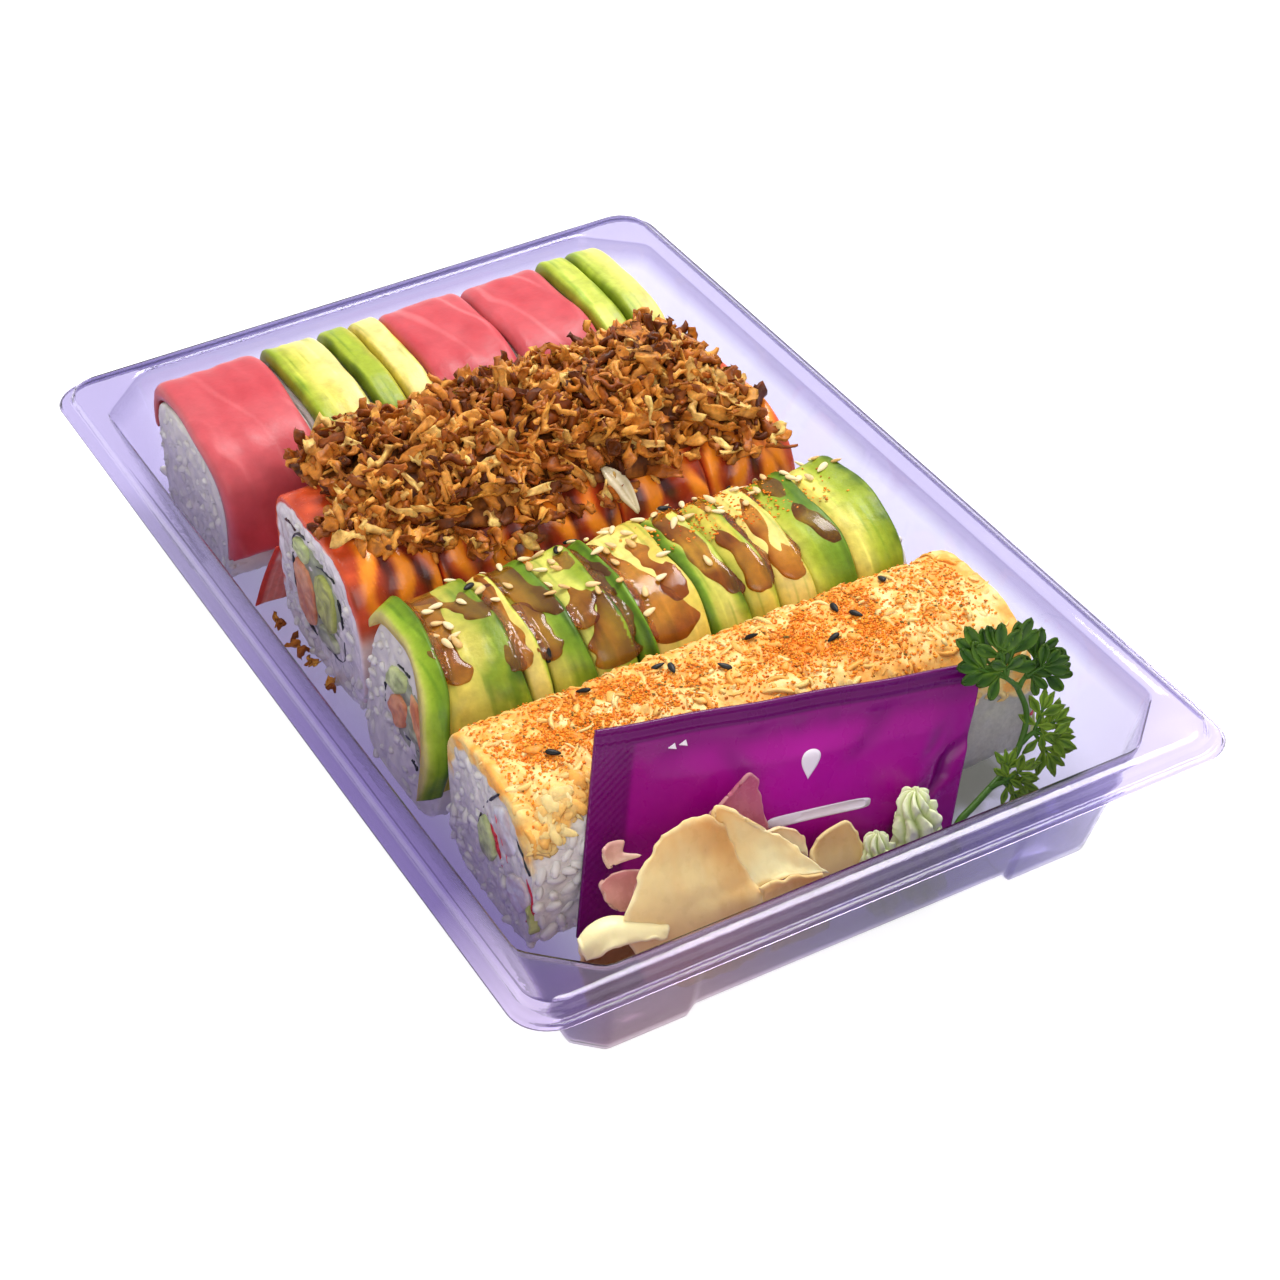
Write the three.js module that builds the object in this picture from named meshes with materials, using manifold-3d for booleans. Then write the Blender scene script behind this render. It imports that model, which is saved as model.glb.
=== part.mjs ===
// Takeaway sushi tray: a thin clear tray holding four rows of cut rolls with their toppings,
// a sauce sachet, pickled ginger, piped wasabi and a parsley sprig.
// Millimetres, +Z up, origin under the middle of the tray on the surface it stands on.
// X runs along the rows, Y from the front (sachet) to the back (tuna row).
import * as THREE from 'three';
import Module from 'manifold-3d';
import { mergeVertices } from 'three/addons/utils/BufferGeometryUtils.js';

const wasm = await Module();
wasm.setup();

// ---------------------------------------------------------------- driving dimensions
const GAP = 0.35;                    // clear distance kept between neighbouring pieces

const TRAY_HALF_X = 85;              // outer lip, half width
const TRAY_HALF_Y = 134.15;          // outer lip, half length
const SHEET = 0.6;                   // thickness of the formed sheet
const LIP_RADIUS = 9.5;              // rounding of the outer lip corners
const MOUTH_INSET = 8.2;             // lip edge to mouth edge
const MOUTH_CHAMFER = 13.5;          // corner chamfer of the mouth
const BASE_CHAMFER = 5.5;            // corner chamfer of the base
const BASE_INSET = 20;               // lip edge to the foot of the wall
const FOOT_DROP = 3;                 // corner feet below the raised floor
const FOOT_END_X = 41;               // feet end here along X and Y, then slope up
const FOOT_END_Y = 90;
const FOOT_SLOPE = 3;
// Upper side of the sheet, from the lip edge inwards: inset, height, share of the foot drop
const TRAY_PROFILE = [
  [0.0, 33.4, 0],
  [0.6, 34.3, 0],
  [2.6, 34.0, 0],
  [3.4, 36.8, 0],
  [4.4, 37.2, 0],
  [7.8, 37.1, 0],
  [8.9, 36.0, 0],
  [19.5, 5.0, 1],
  [21.0, 3.6, 1],
  [27.5, 3.6, 1],
  [30.5, 3.6, 0],
];

const FLOOR_TOP = 3.6 + GAP;         // food stands here

// Rows of rolls: centre line, half width and half height of the section, ends along X,
// exponents of the section's rounded corners, how far the row runs askew, and how far the
// left face leans out at its foot
const ROWS = {
  tuna: { y: 90, a: 21.2, b: 18.2, x0: -64.5, x1: 60.5, front: 3.2, back: 5.0, low: 4.8, askew: 0, lean: 0.5 },
  onion: { y: 28.6, a: 24.0, b: 20.8, x0: -57.5, x1: 58.5, front: 3.0, back: 4.6, low: 4.6, askew: 0, lean: 0.5 },
  avocado: { y: -19.8, a: 19.6, b: 18.1, x0: -54.6, x1: 62, front: 2.7, back: 4.0, low: 4.6, askew: -0.02, lean: 7.0 },
  crab: { y: -66.6, a: 20.8, b: 19.6, x0: -60, x1: 64.5, front: 2.45, back: 4.0, low: 4.8, askew: 0, lean: 0.8 },
};
const ROW_CUTS = {
  tuna: [-36.6, -3.8, 19.6, 42.0],
  onion: [-35.2, -11.8, 11.6, 35.0],
  avocado: [-35.6, -11.2, 13.2, 37.6],
  crab: [-34, -10, 13, 36.5],
};
const CUT_GAP = 0.4;                 // width of a knife cut between two pieces
const SECTION_SIDES = 20;

const TUNA_THICK = 3.1;
const TUNA_SLICES = [[-64.6, -37.4], [-3.4, 19.2], [20.0, 41.6]];
const BACK_AVOCADO_THICK = 3.6;
const BACK_AVOCADO = [[-35.6, -21.2], [-20.2, -12.4], [-11.8, -4.2], [42.4, 50.4], [51.0, 60.2]];
// Overlapping slices over the third row: where one ends and the next begins along X
const AVOCADO_EDGES = [-56.2, -50.2, -34.4, -29.7, -20, -9.5, -4.6, 9, 19, 27, 36, 47.6, 61.6];
const AVOCADO_STEPS = [-1, 8];       // first and last step of a slice round the section
const AVOCADO_THIN = 2.3;            // each slice rises from its left to its right edge
const AVOCADO_THICK = 3.9;
const FIRST_SLICE_EXTRA = 1.1;       // the first slice is thicker than the others

const SEED_HALF = [1.7, 1.0, 0.6];   // sesame seed, half sizes

// Sauce sachet corners: top left, top right, bottom right, bottom left
const SACHET_CORNERS = [[-40.6, -80.0, 54.2], [46.6, -92.2, 44.2], [30.2, -103.8, 5.4], [-54.0, -92.4, 12.6]];
const SACHET_EDGE = 0.8;
const SACHET_SWELL = 5.2;

// ---------------------------------------------------------------- small helpers
function makeRandom(seed) {
  let state = seed >>> 0;
  return () => {
    state = (state * 1664525 + 1013904223) >>> 0;
    return state / 4294967296;
  };
}

const mix = (a, b, t) => a + (b - a) * t;
const clamp01 = (t) => Math.min(1, Math.max(0, t));
const smooth = (t) => {
  const c = clamp01(t);
  return c * c * (3 - 2 * c);
};
const vec = (p) => new THREE.Vector3(p[0], p[1], p[2]);
const between = (p, q, t) => p.map((value, i) => mix(value, q[i], t));

function geometryFrom(points, faces) {
  const geometry = new THREE.BufferGeometry();
  geometry.setAttribute('position', new THREE.Float32BufferAttribute(points.flat(), 3));
  geometry.setIndex(faces.flat());
  return geometry;
}

// Turns every face over when the closed surface encloses a negative volume
function facingOut(points, faces) {
  let volume = 0;
  for (const [i, j, k] of faces) {
    volume += vec(points[i]).dot(vec(points[j]).cross(vec(points[k])));
  }
  return volume < 0 ? faces.map(([i, j, k]) => [i, k, j]) : faces;
}

// Closed solid between two grids of the same size, both split into triangles alike
function solidBetween(nu, nv, inner, outer) {
  const points = [];
  const at = (side, i, j) => side * (nu + 1) * (nv + 1) + i * (nv + 1) + j;
  for (const side of [inner, outer]) {
    for (let i = 0; i <= nu; i += 1) {
      for (let j = 0; j <= nv; j += 1) {
        points.push(side(i / nu, j / nv));
      }
    }
  }
  const faces = [];
  const quad = (a, b, c, d) => faces.push([a, b, c], [a, c, d]);
  for (let i = 0; i < nu; i += 1) {
    for (let j = 0; j < nv; j += 1) {
      quad(at(1, i, j), at(1, i + 1, j), at(1, i + 1, j + 1), at(1, i, j + 1));
      faces.push([at(0, i, j), at(0, i + 1, j + 1), at(0, i + 1, j)]);
      faces.push([at(0, i, j), at(0, i, j + 1), at(0, i + 1, j + 1)]);
    }
  }
  for (let i = 0; i < nu; i += 1) {
    quad(at(0, i, 0), at(0, i + 1, 0), at(1, i + 1, 0), at(1, i, 0));
    quad(at(0, i + 1, nv), at(0, i, nv), at(1, i, nv), at(1, i + 1, nv));
  }
  for (let j = 0; j < nv; j += 1) {
    quad(at(0, 0, j + 1), at(0, 0, j), at(1, 0, j), at(1, 0, j + 1));
    quad(at(0, nu, j), at(0, nu, j + 1), at(1, nu, j + 1), at(1, nu, j));
  }
  return geometryFrom(points, facingOut(points, faces));
}

// Thin sheet of even thickness about a surface, thinned towards its rim
function sheetSolid(nu, nv, surface, thickness, rimShare = 0.5) {
  const step = 1e-3;
  const normalAt = (u, v) => {
    const du = vec(surface(Math.min(1, u + step), v)).sub(vec(surface(Math.max(0, u - step), v)));
    const dv = vec(surface(u, Math.min(1, v + step))).sub(vec(surface(u, Math.max(0, v - step))));
    return du.cross(dv).normalize();
  };
  const side = (sign) => (u, v) => {
    const onRim = u === 0 || u === 1 || v === 0 || v === 1;
    const half = (thickness / 2) * (onRim ? rimShare : 1) * sign;
    return vec(surface(u, v)).addScaledVector(normalAt(u, v), half).toArray();
  };
  return solidBetween(nu, nv, side(-1), side(1));
}

// Solid through closed rings of equal length, its two ends closed by fans
function ringSolid(rings, startTip, endTip) {
  const count = rings[0].length;
  const points = rings.flat();
  const faces = [];
  for (let r = 0; r + 1 < rings.length; r += 1) {
    for (let i = 0; i < count; i += 1) {
      const j = (i + 1) % count;
      const low = r * count;
      const high = low + count;
      faces.push([low + i, low + j, high + j], [low + i, high + j, high + i]);
    }
  }
  const last = (rings.length - 1) * count;
  points.push(startTip, endTip);
  for (let i = 0; i < count; i += 1) {
    const j = (i + 1) % count;
    faces.push([points.length - 2, j, i], [points.length - 1, last + i, last + j]);
  }
  return geometryFrom(points, facingOut(points, faces));
}

const centreOf = (ring) => ring[0].map((_, axis) => ring.reduce((sum, p) => sum + p[axis], 0) / ring.length);

function toManifold(geometry) {
  const bare = geometry.clone();
  bare.deleteAttribute('normal');
  bare.deleteAttribute('uv');
  const merged = mergeVertices(bare, 1e-4);
  return new wasm.Manifold(new wasm.Mesh({
    numProp: 3,
    vertProperties: new Float32Array(merged.attributes.position.array),
    triVerts: new Uint32Array(merged.index.array),
  }));
}

function fromManifold(solid) {
  const mesh = solid.getMesh();
  const geometry = new THREE.BufferGeometry();
  geometry.setAttribute('position', new THREE.Float32BufferAttribute(mesh.vertProperties, 3));
  geometry.setIndex(Array.from(mesh.triVerts));
  return geometry;
}

const fuse = (solids) => solids.reduce((whole, piece) => whole.add(piece));

// The largest body of a solid, without loose scraps
function largestBody(solid) {
  return solid.decompose().reduce((best, body) => (body.volume() > best.volume() ? body : best));
}

// ---------------------------------------------------------------- parts list
const group = new THREE.Group();
group.name = 'takeaway_sushi_tray';

function addPiece(name, geometry, color, roughness = 0.6, extra = {}) {
  const shown = geometry.index ? geometry.toNonIndexed() : geometry;
  shown.computeVertexNormals();
  const material = new THREE.MeshStandardMaterial({ color, roughness, metalness: 0, ...extra });
  material.name = name;
  const mesh = new THREE.Mesh(shown, material);
  mesh.name = name;
  group.add(mesh);
}

// ---------------------------------------------------------------- tray
// Six points round one corner, from the side along X to the side along Y
function trayCorner(halfX, halfY, inset) {
  const points = [];
  if (inset < MOUTH_INSET - 2) {
    const radius = LIP_RADIUS - inset * 0.5;
    for (let k = 0; k < 6; k += 1) {
      const angle = (Math.PI / 2) * (1 - k / 5);
      points.push([halfX - radius + radius * Math.cos(angle), halfY - radius + radius * Math.sin(angle)]);
    }
    return points;
  }
  const chamfer = mix(MOUTH_CHAMFER, BASE_CHAMFER, clamp01((inset - MOUTH_INSET) / (BASE_INSET - MOUTH_INSET)));
  const ease = chamfer * 0.22;
  const diagonal = ease * Math.SQRT1_2;
  const first = [halfX - chamfer, halfY];
  const second = [halfX, halfY - chamfer];
  points.push([first[0] - ease, first[1]]);
  points.push([first[0] - ease * 0.05, first[1] - ease * 0.16]);
  points.push([first[0] + diagonal, first[1] - diagonal]);
  points.push([second[0] - diagonal, second[1] + diagonal]);
  points.push([second[0] - ease * 0.16, second[1] + ease * 0.05]);
  points.push([second[0], second[1] - ease]);
  return points;
}

// One closed loop of the tray at an inset: x, y and how far it belongs to a corner foot
function trayLoop(inset) {
  const halfX = TRAY_HALF_X - inset;
  const halfY = TRAY_HALF_Y - inset;
  const corner = trayCorner(halfX, halfY, inset);
  const quarter = [];
  quarter.push([FOOT_END_X - FOOT_SLOPE, halfY, 0], [FOOT_END_X, halfY, 1]);
  for (const [x, y] of corner) {
    quarter.push([x, y, 1]);
  }
  quarter.push([halfX, FOOT_END_Y, 1], [halfX, FOOT_END_Y - FOOT_SLOPE, 0]);
  const mirrored = (signX, signY) => quarter.map(([x, y, foot]) => [x * signX, y * signY, foot]);
  return [
    ...mirrored(1, 1),
    ...mirrored(1, -1).reverse(),
    ...mirrored(-1, -1),
    ...mirrored(-1, 1).reverse(),
  ];
}

// The profile moved square to itself by the sheet thickness
function offsetProfile(profile, distance) {
  return profile.map(([inset, height, drop], i) => {
    const [pi, ph] = profile[Math.max(0, i - 1)];
    const [ni, nh] = profile[Math.min(profile.length - 1, i + 1)];
    const before = new THREE.Vector2(inset - pi, height - ph);
    const after = new THREE.Vector2(ni - inset, nh - height);
    if (before.length() === 0) before.copy(after);
    if (after.length() === 0) after.copy(before);
    before.normalize();
    after.normalize();
    const mean = before.clone().add(after).normalize();
    const stretch = distance / Math.max(0.5, mean.dot(before));
    return [inset + mean.y * stretch, height - mean.x * stretch, drop];
  });
}

function traySolid() {
  const wallLean = 0.3;
  const ringAt = ([inset, height, drop]) => trayLoop(inset).map(([x, y, foot]) => {
    const lowered = FOOT_DROP * foot * drop;
    const towardsX = (lowered * wallLean * Math.sign(x)) / 2;
    const towardsY = (lowered * wallLean * Math.sign(y)) / 2;
    return [x - towardsX, y - towardsY, height - lowered];
  });
  const upper = TRAY_PROFILE;
  const lower = offsetProfile(TRAY_PROFILE, SHEET);
  const rings = [...[...upper].reverse(), ...lower].map(ringAt);
  return ringSolid(rings, centreOf(rings[0]), centreOf(rings.at(-1)));
}

addPiece('tray', traySolid(), 0xcfc6ee, 0.15, { transparent: true, opacity: 0.4 });

// ---------------------------------------------------------------- roll sections
// Point of a row's rounded-square section grown by a distance. Turn 0 faces the front,
// a quarter turn faces up, half a turn the back.
function sectionPoint(row, turn, grow = 0) {
  const angle = turn * Math.PI * 2;
  const c = Math.cos(angle);
  const s = Math.sin(angle);
  const upperPower = c > 0 ? row.front : row.back;
  const power = s > 0 ? upperPower : row.low;
  const acrossShare = (Math.abs(c) / (row.a + grow)) ** power;
  const upShare = (Math.abs(s) / (row.b + grow)) ** power;
  const radius = 1 / (acrossShare + upShare) ** (1 / power);
  return [row.y - radius * c, FLOOR_TOP + row.b + radius * s];
}

// Places a point of a straight row: the row runs askew and its left face leans
function inRow(row, [x, y, z]) {
  const nearLeft = smooth((row.x0 + 12 - x) / 12);
  const low = 1 - clamp01((z - FLOOR_TOP) / (2 * row.b));
  return [x - row.lean * low * nearLeft, y + row.askew * x, z];
}

// One cut piece of a row. `relief` adds unevenness round its side, `faceRelief` on its two cut faces.
function rollPiece(row, x0, x1, options) {
  const { seed, steps = 1, relief = 0.3, faceRelief = 0, bulge = () => 0 } = options;
  const random = makeRandom(seed);
  const ROUND = 1.0;
  const rings = [];
  const side = (x, grow) => {
    const ring = [];
    for (let i = 0; i < SECTION_SIDES; i += 1) {
      const turn = i / SECTION_SIDES;
      const low = Math.sin(turn * Math.PI * 2) < -0.5;
      const uneven = low ? 0 : (random() - 1) * relief;
      const [y, z] = sectionPoint(row, turn, grow + uneven + bulge(turn, x));
      ring.push([x, y, z]);
    }
    return ring;
  };
  const face = (x, outward, depth) => {
    const scale = 0.55;
    return side(x, -ROUND).map(([, y, z]) => [
      x + outward * (random() - 0.5) * depth,
      mix(row.y, y, scale),
      mix(FLOOR_TOP + row.b, z, scale),
    ]);
  };
  if (faceRelief > 0) {
    rings.push(face(x0 - faceRelief * 0.3, -1, faceRelief));
  }
  rings.push(side(x0, -ROUND));
  for (let k = 0; k <= steps; k += 1) {
    rings.push(side(mix(x0 + ROUND, x1 - ROUND, k / steps), 0));
  }
  rings.push(side(x1, -ROUND));
  const middle = (x) => inRow(row, [x, row.y, FLOOR_TOP + row.b]);
  const placed = rings.map((ring) => ring.map((point) => inRow(row, point)));
  return ringSolid(placed, middle(x0 - faceRelief * 0.4), middle(x1));
}

function rowPieces(key, options) {
  const row = ROWS[key];
  const edges = [row.x0, ...ROW_CUTS[key], row.x1];
  const pieces = [];
  for (let i = 0; i + 1 < edges.length; i += 1) {
    const x0 = edges[i] + (i === 0 ? 0 : CUT_GAP / 2);
    const x1 = edges[i + 1] - (i + 2 === edges.length ? 0 : CUT_GAP / 2);
    const faceRelief = i === 0 ? 1.4 : 0;
    pieces.push(rollPiece(row, x0, x1, { seed: 11 + i * 7 + key.length * 101, faceRelief, ...options }));
  }
  return pieces;
}

// Plate bent over a row between two steps round its section, its inside just clear of the rice
function wrapPlate(row, x0, x1, step0, step1, thicknessAt, shapeAt = () => 0, across = 2) {
  const sides = step1 - step0;
  const point = (grow) => (u, v) => {
    const turn = mix(step0, step1, u) / SECTION_SIDES;
    const x = mix(x0, x1, v) + shapeAt(u, v);
    const [y, z] = sectionPoint(row, turn, grow(u, v));
    return inRow(row, [x, y, z]);
  };
  return solidBetween(sides, across, point(() => GAP), point((u, v) => GAP + thicknessAt(u, v)));
}

// ---------------------------------------------------------------- back row: rice, tuna and avocado
rowPieces('tuna', { relief: 0.7 }).forEach((piece, i) => {
  addPiece(`rice_block_${i + 1}`, piece, 0xf1efec, 0.6);
});

const endTaper = (u, v, edge = 0.35) => {
  const alongEnd = smooth(Math.min(u, 1 - u) * 7);
  const acrossEnd = smooth(Math.min(v, 1 - v) * 5);
  return mix(edge, 1, Math.min(alongEnd, acrossEnd));
};

TUNA_SLICES.forEach(([x0, x1], i) => {
  const thickness = (u, v) => TUNA_THICK * endTaper(u, v, 0.45) + 0.25 * Math.sin(u * 9 + i * 2);
  const skew = (u) => (i === 0 ? 1 : 0) * (u - 0.5) * 1.0;
  const plate = wrapPlate(ROWS.tuna, x0, x1, -1, 9, thickness, skew, 3);
  addPiece(`tuna_slice_${i + 1}`, plate, 0xdc5560, 0.4);
});

BACK_AVOCADO.forEach(([x0, x1], i) => {
  const thickness = (u, v) => BACK_AVOCADO_THICK * endTaper(u, v, 0.5) * (0.85 + 0.15 * Math.sin(u * Math.PI));
  const plate = wrapPlate(ROWS.tuna, x0, x1, 1, 9, thickness, () => 0, 2);
  addPiece(`avocado_back_${i + 1}`, plate, 0xb4cc5a, 0.5);
});

// ---------------------------------------------------------------- second row: onion rolls
// Thick mayonnaise stripes run down the front shoulder; they are part of the roll's skin
const mayoBulge = (turn, x) => {
  const onShoulder = smooth((turn - 0.06) * 20) * smooth((0.24 - turn) * 20);
  return onShoulder * 0.55 * (1 + Math.sin((x * Math.PI * 2) / 9.5));
};
rowPieces('onion', { relief: 0.2, steps: 4, bulge: mayoBulge }).forEach((piece, i) => {
  addPiece(`onion_roll_${i + 1}`, piece, 0xdd5a32, 0.45);
});

// ---------------------------------------------------------------- third row: avocado rolls
rowPieces('avocado', { relief: 0.3 }).forEach((piece, i) => {
  addPiece(`avocado_roll_${i + 1}`, piece, 0xeeeeee, 0.6);
});

function sesameSeed(at, normalTurn, spin) {
  const seed = new THREE.IcosahedronGeometry(1, 0);
  seed.scale(...SEED_HALF);
  seed.rotateZ(spin);
  seed.rotateX(normalTurn);
  seed.translate(at[0], at[1], at[2]);
  return toManifold(seed);
}

const avocadoRow = ROWS.avocado;
const SEEDS_PER_SLICE = [1, 1, 1, 1, 1, 1, 2, 2, 2, 2, 2, 3];

// Sideways shift of a slice's edge: the left slices slant, the last one is rounded
function edgeShift(x, turn) {
  const leftShare = smooth((-24 - x) / 26) * smooth((0.27 - turn) * 5);
  const rightShare = smooth((x - 44) / 16) * ((turn - 0.24) / 0.2) ** 2;
  return -4.5 * leftShare - 4.5 * Math.min(1, rightShare);
}

const seedRandom = makeRandom(4242);
for (let i = 0; i + 1 < AVOCADO_EDGES.length; i += 1) {
  const x0 = AVOCADO_EDGES[i] + GAP * 0.65;
  const x1 = AVOCADO_EDGES[i + 1] - GAP * 0.65;
  const extra = i === 0 ? FIRST_SLICE_EXTRA : 0;
  const thicknessAt = (u, v) => {
    const alongEnd = mix(0.4, 1, smooth(Math.min(u, 1 - u) * 6));
    return (mix(AVOCADO_THIN, AVOCADO_THICK, v) + extra) * alongEnd;
  };
  const turnAt = (u) => mix(AVOCADO_STEPS[0], AVOCADO_STEPS[1], u) / SECTION_SIDES;
  const shift = (u, v) => edgeShift(mix(x0, x1, v), turnAt(u));
  const plate = toManifold(wrapPlate(avocadoRow, x0, x1, AVOCADO_STEPS[0], AVOCADO_STEPS[1], thicknessAt, shift, 1));
  const seeds = [];
  for (let k = 0; k < SEEDS_PER_SLICE[i]; k += 1) {
    const u = mix(0.4, 0.72, (k + seedRandom()) / SEEDS_PER_SLICE[i]);
    const v = mix(0.35, 0.65, seedRandom());
    const turn = turnAt(u);
    const grow = GAP + thicknessAt(u, v) - SEED_HALF[2] * 0.2;
    const [y, z] = sectionPoint(avocadoRow, turn, grow);
    const at = inRow(avocadoRow, [mix(x0, x1, v) + shift(u, v), y, z]);
    seeds.push(sesameSeed(at, (0.25 - turn) * Math.PI * 2, mix(0.9, 2.2, seedRandom())));
  }
  addPiece(`avocado_slice_${i + 1}`, fromManifold(fuse([plate, ...seeds])), 0x9dbb3c, 0.45);
}

// ---------------------------------------------------------------- front row: crab salad rolls
// The shredded topping is a rough layer over the top and the front shoulder of each roll
const crabBulge = (turn, x) => {
  const onTop = smooth((turn - 0.03) * 14) * smooth((0.42 - turn) * 14);
  const lumps = Math.sin(x * 0.9 + turn * 31) * Math.sin(x * 0.37 - turn * 17);
  return onTop * 0.7 * lumps;
};
const BLACK_SEEDS = [[-46, 0.22], [-31, 0.33], [-1, 0.27], [9, 0.31], [33, 0.28], [45, 0.34]];
rowPieces('crab', { relief: 0.5, steps: 3, bulge: crabBulge }).forEach((piece, i) => {
  const edges = [ROWS.crab.x0, ...ROW_CUTS.crab, ROWS.crab.x1];
  const seeds = BLACK_SEEDS
    .filter(([x]) => x > edges[i] && x < edges[i + 1])
    .map(([x, turn]) => {
      const [y, z] = sectionPoint(ROWS.crab, turn, -0.5);
      return sesameSeed([x, y, z], (0.25 - turn) * Math.PI * 2, x);
    });
  addPiece(`crab_roll_${i + 1}`, fromManifold(fuse([toManifold(piece), ...seeds])), 0xf3b765, 0.6);
});

// ---------------------------------------------------------------- crispy onion heap
// Low uneven core along the second row, with bent flakes fused into its surface
const HEAP = { x0: -50, x1: 56, front: 14, back: 61, base: 43.4, rise: 12.6 };

function heapHeight(u, v) {
  const along = smooth(u * 9) * smooth((1 - u) * 7);
  const across = Math.sin(Math.PI * v ** 0.85) ** 0.75;
  const lumps = 1 + 0.14 * Math.sin(u * 23 + v * 5) * Math.cos(v * 9 + u * 11) + 0.1 * Math.sin(u * 41);
  return HEAP.base + 1.8 + HEAP.rise * mix(0.8, 1, u) * along * across * lumps;
}

const heapFront = (u) => HEAP.front + 2.5 * Math.sin(u * 17) - 3 * u;
const heapPoint = (u, v) => [mix(HEAP.x0, HEAP.x1, u), mix(heapFront(u), HEAP.back, v), heapHeight(u, v)];

function heapCore() {
  const bottom = (u, v) => {
    const [x, y] = heapPoint(u, v);
    return [x, y, HEAP.base];
  };
  return toManifold(solidBetween(16, 6, bottom, heapPoint));
}

function onionFlake(random) {
  const u = mix(0.02, 0.98, random());
  const v = mix(0.06, 0.94, random());
  const [x, y, z] = heapPoint(u, v);
  const length = mix(5, 11, random());
  const width = mix(3, 5.5, random());
  const bend = mix(-2.2, 2.2, random());
  const flake = sheetSolid(2, 1, (a, b) => [
    (a - 0.5) * length,
    (b - 0.5) * width * mix(0.5, 1.2, Math.sin(a * Math.PI)),
    bend * Math.sin(a * Math.PI) + 0.6 * (b - 0.5),
  ], 1.1, 0.7);
  flake.rotateX(mix(-1.1, 1.1, random()));
  flake.rotateY(mix(-0.9, 0.9, random()));
  flake.rotateZ(random() * Math.PI * 2);
  flake.translate(x, y, z + 0.3);
  return toManifold(flake);
}

// Block under the heap that keeps it clear of a row and its topping
function rowBlock(row, grow) {
  const ring = (x) => Array.from({ length: SECTION_SIDES }, (_, i) => {
    const [y, z] = sectionPoint(row, i / SECTION_SIDES, grow);
    return [x, y, z];
  });
  const rings = [ring(-80), ring(80)];
  return toManifold(ringSolid(rings, centreOf(rings[0]), centreOf(rings[1])));
}

const flakeRandom = makeRandom(909);
const FLAKE_COUNT = 40;
const flakes = Array.from({ length: FLAKE_COUNT }, () => onionFlake(flakeRandom));
const heap = fuse([heapCore(), ...flakes])
  .subtract(rowBlock(ROWS.onion, 1.7))
  .subtract(rowBlock(ROWS.tuna, TUNA_THICK + 1.6));
addPiece('crispy_onions', fromManifold(largestBody(heap)), 0xb0702f, 0.7);

// Pale onion sliver lying on the front shoulder of the second row
const SLIVER_ENDS = [[10.0, 12.4, 46.8], [13.8, 2.4, 38.6]];
const SLIVER_WIDTH = 5;
addPiece('onion_sliver', sheetSolid(5, 2, (u, v) => {
  const [x, y, z] = between(SLIVER_ENDS[0], SLIVER_ENDS[1], u);
  const across = (v - 0.5) * SLIVER_WIDTH * Math.sin(mix(0.3, 2.9, u));
  return [x + across, y + across * 0.3, z + 1.8 * Math.sin(u * Math.PI)];
}, 0.9, 0.6), 0xd9cdb0, 0.4);

// Strip of red crab-stick skin leaning between the first two rows
const STRIP = { foot: [-63, 60.4, 4.7], top: [-57.4, 55.2, 23.6], length: 13 };
addPiece('crab_skin_strip', sheetSolid(5, 2, (u, v) => {
  const [x, y, z] = between(STRIP.foot, STRIP.top, u);
  return [x + v * STRIP.length, y + 0.8 * Math.sin(u * Math.PI), z - 2 * v * u];
}, 1.1, 0.7), 0xd84a3c, 0.5);

// ---------------------------------------------------------------- sauce sachet
function sachetMiddle(u, v) {
  const [topLeft, topRight, lowRight, lowLeft] = SACHET_CORNERS;
  return between(between(topLeft, topRight, u), between(lowLeft, lowRight, u), v);
}

function sachetSolid() {
  const [topLeft, topRight, , lowLeft] = SACHET_CORNERS.map(vec);
  const normal = topRight.sub(topLeft).cross(lowLeft.sub(topLeft)).normalize();
  if (normal.y > 0) normal.negate();
  const swell = (u, v) => {
    const alongX = smooth((u - 0.1) * 5) * smooth((0.96 - u) * 9);
    const alongV = smooth((v - 0.14) * 6) * smooth((0.96 - v) * 4);
    return SACHET_SWELL * alongX * alongV * (0.75 + 0.12 * Math.sin(u * 13 + v * 4));
  };
  const side = (front) => (u, v) => {
    const thickness = SACHET_EDGE / 2 + swell(u, v) * (front ? 0.62 : 0.38);
    const ripple = 0.35 * Math.sin(u * 19) * smooth((0.2 - v) * 8);
    const distance = front ? thickness + ripple : ripple - thickness;
    return vec(sachetMiddle(u, v)).addScaledVector(normal, distance).toArray();
  };
  return solidBetween(10, 6, side(false), side(true));
}
addPiece('sauce_sachet', sachetSolid(), 0x8a0a80, 0.35);

// ---------------------------------------------------------------- pickled ginger
// Thin folded slices: a patch through four corners, bulged square to itself and rippled
function gingerSlice(corners, bulge, ripple, phase, thickness = 1.3, nu = 5, nv = 4) {
  const [a, b, c, d] = corners;
  const normal = vec(b).sub(vec(a)).cross(vec(d).sub(vec(a))).normalize();
  if (normal.y > 0) normal.negate();
  return sheetSolid(nu, nv, (u, v) => {
    const flat = vec(between(between(a, b, u), between(d, c, u), v));
    const swell = bulge * Math.sin(u * Math.PI) * Math.sin(mix(0.15, 1, v) * Math.PI * 0.9);
    const waves = ripple * Math.sin(u * 7 + phase) * Math.cos(v * 4 + phase);
    return flat.addScaledVector(normal, swell + waves).toArray();
  }, thickness, 0.6);
}

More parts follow.
